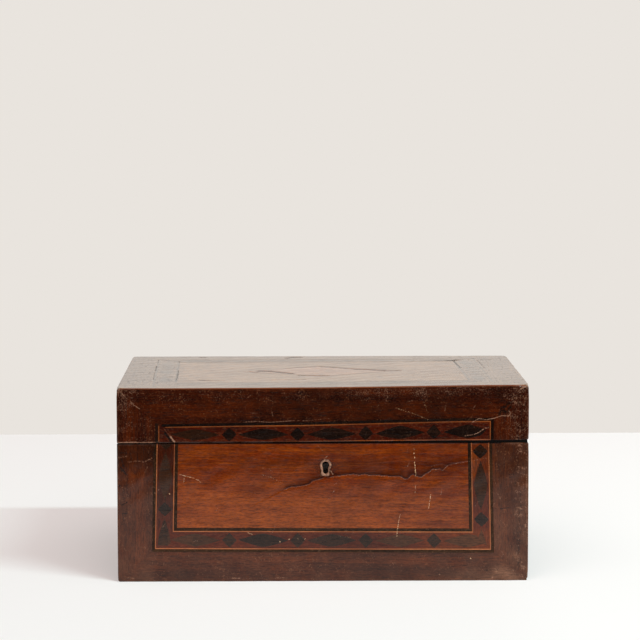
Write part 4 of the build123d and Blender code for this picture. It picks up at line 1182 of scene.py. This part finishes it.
lid_boxwood = lid_strips(*strip_edges["boxwood"][0])
lid_boxwood[0] = (
    [(-ebony_half, lid_bottom), (-ebony_half, 136.5), (-boxwood_half, 136.3), (-boxwood_half, lid_bottom)],
    "v",
)
lid_boxwood[2] = (
    [(-135.2, ebony_head), (ebony_half, ebony_head), (boxwood_half, boxwood_head), (-135.4, boxwood_head)],
    "u",
)
lid_boxwood += [(rectangle(-boxwood_half, boxwood_half, lid_bottom, ground_foot), "u")]
leaf(
    "lid_boxwood_lines", lid_boxwood, "lid_boxwood", "boxwood", "lid_front_boxwood_lines",
    depth=0.0, marks=with_more(lid_marks, soot=lambda x, z: 0.75 * climb(z, 121.0, -0.5)), **lid_front,
)

# %% [markdown]
# ## Lozenges and diamonds
# Each one is a leaf whose width grows from nothing at one tip and shrinks again to the other. The
# edges swell a little between tip and middle, because they were cut with a knife. Where the band
# turns a corner, the mitre cuts a lozenge short, so the width is limited by the mitre line.

# %% Cut shapes of the band
endless = (-999, 999)


def cut_shape(
    centre, half_long, half_wide, swell, upright=False, low=None, high=None, ends=endless, seed=0
):
    """Grid of a lozenge: width (1-q) plus swell times 4q(1-q), limited by low and high. Here q is the
    distance s from the middle, blunted to q = (root(s*s + e*e) - e) / (root(1 + e*e) - e)."""
    draw = np.random.default_rng(seed)
    swell, blunt = swell + draw.uniform(-0.03, 0.03), 0.08
    half_wide = half_wide + draw.uniform(-0.25, 0.15)
    tip = draw.uniform(-0.35, 0.35)
    here, across = (centre[1], centre[0]) if upright else centre

    def edges(s):
        """The place along the length and the two sides there."""
        along = here + s * half_long
        q = (np.sqrt(s * s + blunt**2) - blunt) / (math.sqrt(1 + blunt**2) - blunt)
        wide = half_wide * (1 - q + swell * 4 * q * (1 - q))
        middle = across + tip * s
        least = middle - wide if low is None else np.maximum(middle - wide, low(along))
        most = middle + wide if high is None else np.minimum(middle + wide, high(along))
        return along, least, most

    tries = np.linspace(-1, 1, 1601)
    along, least, most = edges(tries)
    good = tries[(most - least > 0.08) & (along > ends[0]) & (along < ends[1])]
    s = np.linspace(good[0], good[-1], max(9, int(half_long * (good[-1] - good[0]) / 0.6)))
    along, least, most = edges(s)
    t = np.linspace(0, 1, int(half_wide * 3.2))
    across_grid = least[:, None] + (most - least)[:, None] * t
    along_grid = np.broadcast_to(along[:, None], across_grid.shape)
    return (across_grid, along_grid) if upright else (along_grid, across_grid)


def inlay(name, shapes, finish, node, face, body, settle, marks):
    """Lozenges or diamonds of one face as one piece; each shape is a grid of points."""
    shells = []
    for u, v in shapes:
        u, v = settle(u, v)
        shells.append((shell(u, v, 0.02 + hollow(u, v), on_face(face, body), rows=1), "u"))
    return piece(name, shells, woods[finish], body, [node], marks)


def faded(places):
    """Tint round some places: each is x, z and the share of brown that shows in the stained wood."""
    return lambda x, z: sum(share * (np.hypot(x - u, z - v) < 24) for u, v, share in places)


print("a lozenge of 42 mm is a grid of", cut_shape((0, 0), 21, 5.6, 0.07)[0].shape)

# %% [markdown]
# The band's shapes stand one pitch apart, with a diamond halfway between two lozenges. Most of them
# come from two helpers, and only the ones at the corners are limited by the mitre.

# %% The band's lozenges and diamonds
pitch, first = 57.9, -108.5
band_low, band_high, band_side = 35.2, 127.0, 134.7
mitre = 141.7 + 28.2
lozenge = dict(half_long=21, half_wide=5.6, swell=0.07)
diamond = dict(half_long=6.2, half_wide=6.1, swell=0.03)


def row(shape, height, shift, seed):
    """Four shapes side by side in the band, one pitch apart."""
    places = [(first + pitch * (k + shift), height) for k in range(4)]
    return [cut_shape(place, seed=seed + k, **shape) for k, place in enumerate(places)]


def standing(shape, x, z, seed, **limits):
    """An upright shape of the band."""
    return cut_shape((x, z), upright=True, seed=seed, **shape, **limits)


lozenges = row(lozenge, band_low, 0, 0) + [
    cut_shape((first + pitch * 4, band_low), high=lambda x: mitre - x, seed=4, **lozenge),
    standing(lozenge, -band_side, 90.85, 5),
    standing(lozenge, -band_side, 32.95, 6, high=lambda z: z - mitre + 8, ends=(30.4, 999)),
    standing(lozenge, band_side, 82.45, 7),
    standing(lozenge, band_side, 24.55, 8, low=lambda z: mitre - z),
]
diamonds = row(diamond, band_low, 0.5, 20) + [
    standing(diamond, -band_side, 61.9, 25),
    standing(diamond, -band_side, 119.8, 26, ends=(0, base_top)),
    standing(diamond, band_side, 53.5, 27),
    standing(diamond, band_side, 111.4, 28),
]
lid_lozenges = row(lozenge, band_high, 0, 30)
lid_lozenges += [cut_shape((first + pitch * 4, band_high), low=lambda x: x - 10.3, seed=34, **lozenge)]
lid_diamonds = row(diamond, band_high, 0.5, 40)
base_fades = [
    (-108.5, 35.2, 0.45), (7.3, 35.2, 0.15), (65.2, 35.2, 0.6), (123.1, 35.2, 0.95),
    (-134.7, 90.85, 0.3), (134.7, 82.45, 0.25), (-134.7, 32.95, 0.2),
]
fading = with_more(base_marks, tint=faded(base_fades))
lid_fading = with_more(lid_marks, tint=faded([(-108.5, 127, 0.4)]))
inlay("lozenges", lozenges, "ebony", "front_lozenges", marks=fading, **base_front)
inlay("diamonds", diamonds, "ebony", "front_diamonds", marks=base_marks, **base_front)
inlay("lid_lozenges", lid_lozenges, "lid_ebony", "lid_front_lozenges", marks=lid_fading, **lid_front)
inlay("lid_diamonds", lid_diamonds, "lid_ebony", "lid_front_diamonds", marks=lid_marks, **lid_front)

# %% [markdown]
# ## The panel and its keyhole
# A sheet between four corners has no hole. So the panel is four sheets round a window, and a ring
# that fills the window. The ring runs from the window's edge to the keyhole: the reach from the
# keyhole's eye is found for every angle, once to the window and once to the grown keyhole outline.

# %% Keyhole outline and panel
eye_x, eye_z = 2.2, 100.0
eye_radius, slot_half, slot_drop = 3.05, 2.2, 5.5
window = (-8.0, 12.0, 86.0, 109.0)


def keyhole_reach(angle, grow):
    """Distance from the eye to the outline: the round eye, or the straight slot with a round end."""
    c, s = np.cos(angle), np.sin(angle)
    half = slot_half + grow
    flank = half / np.maximum(abs(c), 1e-6)
    inside = half**2 - (slot_drop * c) ** 2
    end = -s * slot_drop + np.sqrt(np.maximum(inside, 0))
    slot = np.where(s >= 0, 0, np.where(flank * -s <= slot_drop, flank, np.where(inside > 0, end, 0)))
    return np.maximum(eye_radius + grow, slot)


def torn(angle):
    """How much further the wood has broken away from the keyhole's lining, mostly below it."""
    below = 2.0 * bell(angle + 2.0, 0.16) + 0.9 * bell(angle + 1.28, 0.14)
    return below + 0.5 * bell(angle + 2.43, 0.3)


def window_reach(angle):
    """Distance from the eye to the edge of the window."""
    c, s = np.cos(angle), np.sin(angle)
    wide = np.where(c > 0, window[1] - eye_x, eye_x - window[0]) / np.maximum(abs(c), 1e-6)
    tall = np.where(s > 0, window[3] - eye_z, eye_z - window[2]) / np.maximum(abs(s), 1e-6)
    return np.minimum(wide, tall)


def carried(u, v, depth):
    """A closed shell from a grid of path by loop: both ways round, the last row joins the first."""
    points = on_face("front", "base")(u, v, depth)
    index = np.arange(depth.size).reshape(depth.shape)
    on, up = np.roll(index, -1, 0), np.roll(index, -1, 1)
    quads = np.stack([index, on, np.roll(on, -1, 1), up], -1).reshape(-1, 4)
    return (points.reshape(-1, 3), quads, np.stack([u.ravel(), v.ravel()], -1)), "u"


corner_angles = [math.atan2(z - eye_z, x - eye_x) for x in window[:2] for z in window[2:]]
angles = np.unique(np.concatenate([np.linspace(-np.pi, np.pi, 121)[:-1], corner_angles]))
inner = (keyhole_reach(angles, 1.95) + torn(angles))[:, None]
outer = window_reach(angles)[:, None]
share = np.linspace(0, 1, 24) ** 1.2
reach = np.concatenate([inner + (outer - inner) * share, outer, inner], 1)
ring_u = eye_x + reach * np.cos(angles)[:, None]
ring_v = eye_z + reach * np.sin(angles)[:, None]
ring_d = np.clip(0.03 + hollow(ring_u, ring_v) + veneer_step(ring_u, ring_v), 0, 1.15)
ring_d[:, -2:] = leaf_thick
ring = carried(ring_u, ring_v, ring_d)
print("the ring round the keyhole has", ring_d.size, "faces")

# %% [markdown]
# The panel's colour runs in long level streaks, like the grain. It is palest below its middle and
# darkest at the height of the keyhole. Noise alone would put these anywhere, so they are functions of
# the height.

# %% The panel
def panel_tint(x, z):
    """The panel is paler below its middle, less so at both ends, in long streaks, and at two spots."""
    share = np.interp(x, [-124, -96, 30, 70, 124], [0.55, 0.8, 0.8, 0.35, 0.15])
    pale = climb(z, 90, -42) * share
    first = 0.45 * spot(x, z, (-42, 83), (18, 3.5))
    second = 0.45 * spot(x, z, (-112, 79), (11, 3.5))
    streaks = 0.75 + 0.5 * mottle(x / 6, z, 8, 41)
    return (pale + first + second) * streaks + 0.32 * mottle(x / 7, z, 10, 42)


def panel_shade(x, z):
    """A dark streak at the height of the keyhole, and fainter ones elsewhere."""
    share = np.interp(x, [-124, -80, -40, 60, 124], [0.3, 0.5, 1, 1, 0.5])
    streak = 0.3 * share * bell(z - 101, 5)
    return streak + 0.26 * mottle(x / 8, z, 7, 43) + 0.12 * climb(x, 60, 30) * (z < 84)


panel_marks = with_more(base_marks, tint=panel_tint)


def panel_all(x, z):
    """The marks of the base with the panel's shade added to the shade of the break."""
    found = panel_marks(x, z)
    found["shade"] = found["shade"] + panel_shade(x, z) * (1 - found["shade"])
    return found


edge, foot = 124.3, 45.6
x0, x1, z0, z1 = window
panel_parts = (
    (-edge, x0, foot, base_top), (x1, edge, foot, base_top), (x0, x1, foot, z0), (x0, x1, z1, base_top)
)
panel_sheets = [(rectangle(*part), "u") for part in panel_parts]
leaf(
    "panel", panel_sheets, "veneer_panel", "mahogany_panel", "front_panel", step=0.55,
    relief=veneer_step, rings=[ring], one_sheet=True, marks=panel_all, **base_front,
)

# %% [markdown]
# ## Sides and back
# The sides and the back are plain mahogany with the grain running level. They only have to follow the
# rounded arrises, the lifted lower edge of the lid and the bevels at the back that stop it.

# %% Plain leaves
def plain_leaf(name, face, body, first, last, node, step, settle=None):
    """One sheet of plain veneer over the whole height of the base or the lid."""
    low, high = (0, base_top) if body == "base" else (lid_bottom, inner_top)
    sheet = rectangle(first, last, low, high)
    leaf(name, [(sheet, "u")], "veneer_side", "mahogany_side", node, face, body, step=step, settle=settle)


for side, sign in (("left", -1), ("right", 1)):
    ends = sorted((sign * -inner_depth, sign * half_depth))
    plain_leaf(f"{side}_side", side, "base", *ends, f"base_{side}_veneer", 1.2)
    plain_leaf(f"lid_{side}_side", side, "lid", *ends, f"lid_{side}_veneer", 1.2, askew_side(sign * 175))
plain_leaf("back", "back", "base", -inner_width, inner_width, "base_back_veneer", 1.4)
plain_leaf("lid_back", "back", "lid", -inner_width, inner_width, "lid_back_veneer", 1.4)

# %% [markdown]
# ## The top
# The top repeats the band as a full ring and has a rhombus in its panel. It has lain in the light for
# years, so it is bleached and dusty, and the board under it has sunk at the front. The joints have
# opened into fine cracks, which are grooves in the leaves with dirt in them.

# %% Cracks and dirt of the top
top_cracks = strokes(
    (0.75, 0.7, -149.5, 87.5, -149.1, 60), (0.8, 0.95, -149.1, 41, -148.1, 3.7),
    (0.75, 0.75, -148.1, -8, -147.4, -39.5, -146.5, -60), (0.7, 0.6, -129.9, 79.2, -128.2, 25.7),
    (0.8, 0.9, -127.6, 6, -126.8, -32.5, -126.7, -60.6), (1.1, 1.0, -127, -20, -126.8, -32),
    (0.9, 1.0, 123.1, 70.1, 124, 45.1), (0.8, 0.95, 124, 45.1, 125.7, 14.9),
    (0.75, 0.75, 145.1, 76.9, 146, 42, 146.9, 14), (2.0, 0.9, -106.8, -61.8, -96.7, -65.8),
    (1.6, 0.6, -95.5, -64.5, -85.6, -66.3), (1.6, 0.5, -44.7, -64.8, -27.9, -60.1, -14.9, -61.4),
    (2.0, 0.6, 107, 75.1, 116.3, 76.3), (3.0, 1.0, 116.3, 76.3, 121.8, 76.1, 126.8, 80.9),
    (2.4, 0.8, -111.1, 108.9, -107.3, 108.8), (2.6, 0.9, -30.6, 98.8, -24.1, 106.8, -17.5, 106.6),
    (2.2, 0.55, -63.5, -3.2, -57.8, -9), (2.8, 1.0, -55.5, 0.9, -45.7, -1, -35, -10.2, -26.1, -17.9),
    (2.2, 0.7, -19.9, -32, -8.5, -32.5, 4, -35.4), (2.2, 0.46, -31.2, 17.1, -20.9, 24.3, -2.8, 30.4),
    (2.6, 0.8, -0.6, 34.2, 10.1, 26.7, 29.9, 12.4), (2.8, 1.0, 29.9, 12.4, 43.8, 6.1, 56.4, -0.2),
    (2.2, 0.5, 60.6, -0.5, 70.4, -1.2),
)


def dots(count, seed):
    """Small dark pits, more of them over the two ends of the top."""
    draw = np.random.default_rng(seed)
    x = np.where(draw.random(count) < 0.6, draw.uniform(120, 174, count), draw.uniform(0, 120, count))
    x *= draw.choice([-1, 1], count)
    y, run = draw.uniform(-112, 112, count), draw.uniform(0, 1.6, count)
    strength = draw.uniform(0.3, 0.8, count) * np.where(abs(x) > 120, 1.3, 0.8)
    return [([(a, b), (a + c, b + 0.2 * c)], 1.5, s) for a, b, c, s in zip(x, y, run, strength)]


top_dots = [
    (-172.6, -6.2), (-151.5, -13.1), (-143.3, 42.5), (-167.2, -76.4), (-160.8, -89.3),
    (-154.4, -91.7), (-158.8, -6.7), (-126.2, -61.7), (41.8, 89.3), (-166, -18),
]
top_dirt = top_cracks + dots(220, 3) + [([(x, y), (x + 0.4, y)], 1.6, 0.9) for x, y in top_dots]


def top_groove(x, y):
    """Fine grooves along the cracks of the top."""
    return 0.5 * brush(x, y, top_cracks)


def top_marks(x, y):
    """Dirt in the cracks, a film of dust, and red rubbed wood along the front arris."""
    dust = 0.2 + 0.15 * waves(np.stack([x, y], -1), 45, 6)
    pale = brush(x, y, hairs(50, (-170, 170, -112, 112), 12))
    rim = 0.7 * climb(y, -114.9, -0.8)
    back = np.interp(x, [-175, -60, 60], [0.4, 0.3, 0.1]) * climb(y, 110, 3)
    corner = 0.9 * climb(x, -157, -3) * climb(y, -115.4, -0.6)
    soot = np.maximum(brush(x, y, top_dirt), corner)
    worn = 0.34 * mottle(x, y / 2, 7, 51) * climb(abs(x), 116, 10)
    back = np.maximum(back, 0.14 * climb(x, -136, -20) + worn)
    return {"soot": soot, "shade": back, "tint": dust, "bare": rim, "pale": 0.5 * pale}


print("strokes of dirt on the top:", len(top_dirt))

# %% [markdown]
# The top's leaves are many but alike, so one table lists the strips, the wood, the slot and the part
# that each replaces. The board below them is a plain slab.

# %% The top's frame and rhombus
def askew_top(x, y):
    """The top's inlay leans to the left at the back, and the border takes up the difference."""
    share = climb(abs(x), half_width, -28) * climb(abs(y), half_depth, -18)
    return x - 0.025 * (y + 65) * share, y


top_half, top_front, top_back, lap = 146.5, -98.5, 89.5, 0.2


def ring_strips(start, end):
    """Four mitred strips between two distances inside the top's frame."""
    outer, inner = (
        rectangle(inset - top_half, top_half - inset, top_front + inset, top_back - inset)
        for inset in (start, end)
    )
    return mitred(outer, inner, (near_side, far_side, left_side, right_side))


rhombus = np.array([(-69, -2), (0.5, -37), (69.5, -2), (-1, 33)])
grown = rhombus.mean(0) + 1.058 * (rhombus - rhombus.mean(0))
rhombus_line = [([grown[k], grown[k - 3], rhombus[k - 3], rhombus[k]], "u") for k in range(4)]
board = rectangle(-inner_width, inner_width, -inner_depth, inner_depth)
leaf(
    "lid_board", [(board, "u")], "carcase_board", "carcase_wood", "lid_top_board", "top", "lid",
    step=3.0, depth=leaf_thick, thick=9.2,
)
outline = rectangle(-half_width, half_width, -half_depth, half_depth)
border_inside = rectangle(-top_half, top_half, top_front + lap, top_back - lap)
top_border = mitred(outline, border_inside, (near_side, far_side))
border_inside = rectangle(lap - top_half, top_half - lap, top_front, top_back)
top_border += mitred(outline, border_inside, (left_side, right_side))
settled = dict(face="top", body="lid", settle=askew_top)
top_ebony = ring_strips(0, 2.3) + ring_strips(18.5, 21) + rhombus_line
top_boxwood = ring_strips(2.2, 3.3) + ring_strips(17.3, 18.6)
top_leaves = (
    ("top_border", top_border, "top_border", "mahogany_border", "lid_top_border", 0.9, 0.0),
    ("top_ground", ring_strips(3.2, 17.4), "top_ground", "mahogany_ground", "lid_top_band", 0.7, 0.04),
    ("top_ebony_lines", top_ebony, "top_ebony", "ebony", "lid_top_ebony_lines", 0.7, 0.02),
    ("top_boxwood_lines", top_boxwood, "top_boxwood", "boxwood", "lid_top_boxwood_lines", 0.7, 0.0),
    (
        "top_panel", [(rectangle(-125.6, 125.6, -77.6, 68.6), "u")], "top_panel", "mahogany_panel",
        "lid_top_panel", 0.8, 0.06,
    ),
    ("top_rhombus", [(rhombus, "u")], "top_rhombus", "rhombus_wood", "lid_top_rhombus", 0.7, 0.0),
)
for name, strips, finish, slot, node, step, depth in top_leaves:
    leaf(
        name, strips, finish, slot, node, step=step, depth=depth, relief=top_groove, marks=top_marks,
        **settled,
    )
top_shapes = []
for y in (-88.2, 79.2):
    top_shapes += [cut_shape((x, y), seed=50, **lozenge) for x in (-115.7, -57.9, 0, 57.9, 115.7)]
    top_shapes += [cut_shape((x, y), seed=60, **diamond) for x in (-86.85, -28.95, 28.95, 86.85)]
for x in (-136.2, 136.2):
    top_shapes += [standing(lozenge, x, y, 70) for y in (-62.4, -4.5, 53.4)]
    top_shapes += [standing(diamond, x, y, 80) for y in (-33.45, 24.45)]
inlay("top_inlays", top_shapes, "top_ebony", "lid_top_inlays", marks=top_marks, **settled)

# %% [markdown]
# ## Brass, steel, paper and boards
# The metal parts keep their shape from the frame, apart from the keyhole's lining, which comes next.
# Old brass is dull and brown with brighter spots where hands have touched it. The lock and its screws
# are darker steel with a little rust. The inside is lined with a yellowed paper with faint stains.
# These finishes read the position, so they need no map. The boards get theirs in the same loop.

# %% Finishes of the parts that are kept
def plain_finish(name, scale, tones, metal, dull, relief):
    """A finish from cloudy noise between two tones, with finer spots of a third one."""
    made, tree, shader = new_finish(name)
    place = add(tree, "TexCoord").outputs["Object"]
    cloud = stretched(tree, place, scale, scale, scale, 4, 0.6)
    spots = fade(tree, stretched(tree, place, 6 * scale, 6 * scale, 6 * scale, 3, 0.6), 0.56, 0.66)
    colour = mix(tree, fade(tree, cloud, 0.36, 0.64), paint(*tones[0]), paint(*tones[1]))
    colour = mix(tree, calc(tree, "MULTIPLY", spots, 0.6), colour, paint(*tones[2]))
    bump = add(tree, "Bump", {"Height": spots, "Strength": relief, "Distance": 0.0001})
    feed(tree, shader, {
        "Base Color": colour, "Metallic": metal, "Normal": bump.outputs["Normal"],
        "Roughness": add_up(tree, dull - 0.15, (cloud, 0.3)),
    })
    return made


brass = plain_finish("old_brass", 260, ((150, 112, 66), (186, 148, 92), (92, 66, 40)), 1.0, 0.42, 0.3)
steel = plain_finish("old_steel", 200, ((86, 82, 78), (118, 112, 104), (84, 56, 38)), 1.0, 0.48, 0.4)
# The key pin sits deep in the keyhole, so its steel is painted dark: a painted shade.
shaded_pin_steel = plain_finish("shaded_pin_steel", 200, ((34, 29, 27), (50, 43, 40), (44, 26, 18)), 0.8, 0.5, 0.4)
paper = plain_finish("lining_paper", 40, ((176, 156, 124), (196, 178, 146), (150, 128, 96)), 0.0, 0.9, 0.15)
dressed = {
    woods["carcase_board"]: (
        "base_front_board", "base_back_board", "base_bottom_board", "lid_front_rail", "lid_back_rail",
    ),
    woods["carcase_end_board"]: (
        "base_left_board", "base_right_board", "lid_left_rail", "lid_right_rail",
    ),
    brass: (
        "lock_selvedge_plate", "hinge_left_lower_leaf", "hinge_right_lower_leaf", "base_hinge_screws",
        "lock_link_plate", "hinge_left_upper_leaf", "hinge_right_upper_leaf", "lid_hinge_screws",
    ),
    shaded_pin_steel: ("lock_key_pin",),
    steel: ("lock_case", "lock_spring", "lock_screws", "hinge_pins", "link_plate_screws", "lock_bolt"),
    paper: ("base_lining_paper", "lid_lining_paper"),
}
for finish, names in dressed.items():
    for name in names:
        for slot in nodes[name].material_slots:
            slot.material = finish
print("finishes given to", sum(map(len, dressed.values())), "parts")

# %% [markdown]
# ## The keyhole's lining
# A thin brass ring lines the keyhole. Keys have struck it for years, so its face is low in places
# and its outer edge is uneven. It is one loop, up inside the hole, over a rounded lip and down
# outside, carried round the outline of the keyhole.

# %% Escutcheon
turns = np.linspace(-np.pi, np.pi, 145)[:-1]
lip_grow = np.array([0.0, 0.0, 0.06, 0.25, 0.7, 1.2, 1.6, 1.84, 1.9, 1.9])
lip_depth = np.array([3.0, 0.5, 0.28, 0.12, 0.05, 0.05, 0.12, 0.3, 0.6, 3.0])
round_hole = np.stack([np.cos(turns), np.sin(turns)], -1)
beaten = waves(round_hole * 4, 3.0, 17)[:, None]
grown = lip_grow + np.where((lip_grow > 0.1) & (lip_grow < 1.8), 0.08 * beaten, 0)
reach = keyhole_reach(turns, 0.0)[:, None] + grown * (1 + torn(turns)[:, None] / 1.9)
depths = np.clip(lip_depth + np.where(lip_depth < 0.4, 0.10 * (1 + beaten), 0), 0, 3.0)
ring_u = eye_x + reach * round_hole[:, :1]
ring_v = eye_z + reach * round_hole[:, 1:]
lip = carried(ring_u, ring_v, depths)
rubbed = plain_finish(
    "rubbed_brass", 700, ((96, 66, 52), (168, 124, 98), (70, 44, 32)), 0.25, 0.5, 0.4
)
piece("keyhole_lining", [lip], rubbed, "base", ["keyhole_escutcheon"])
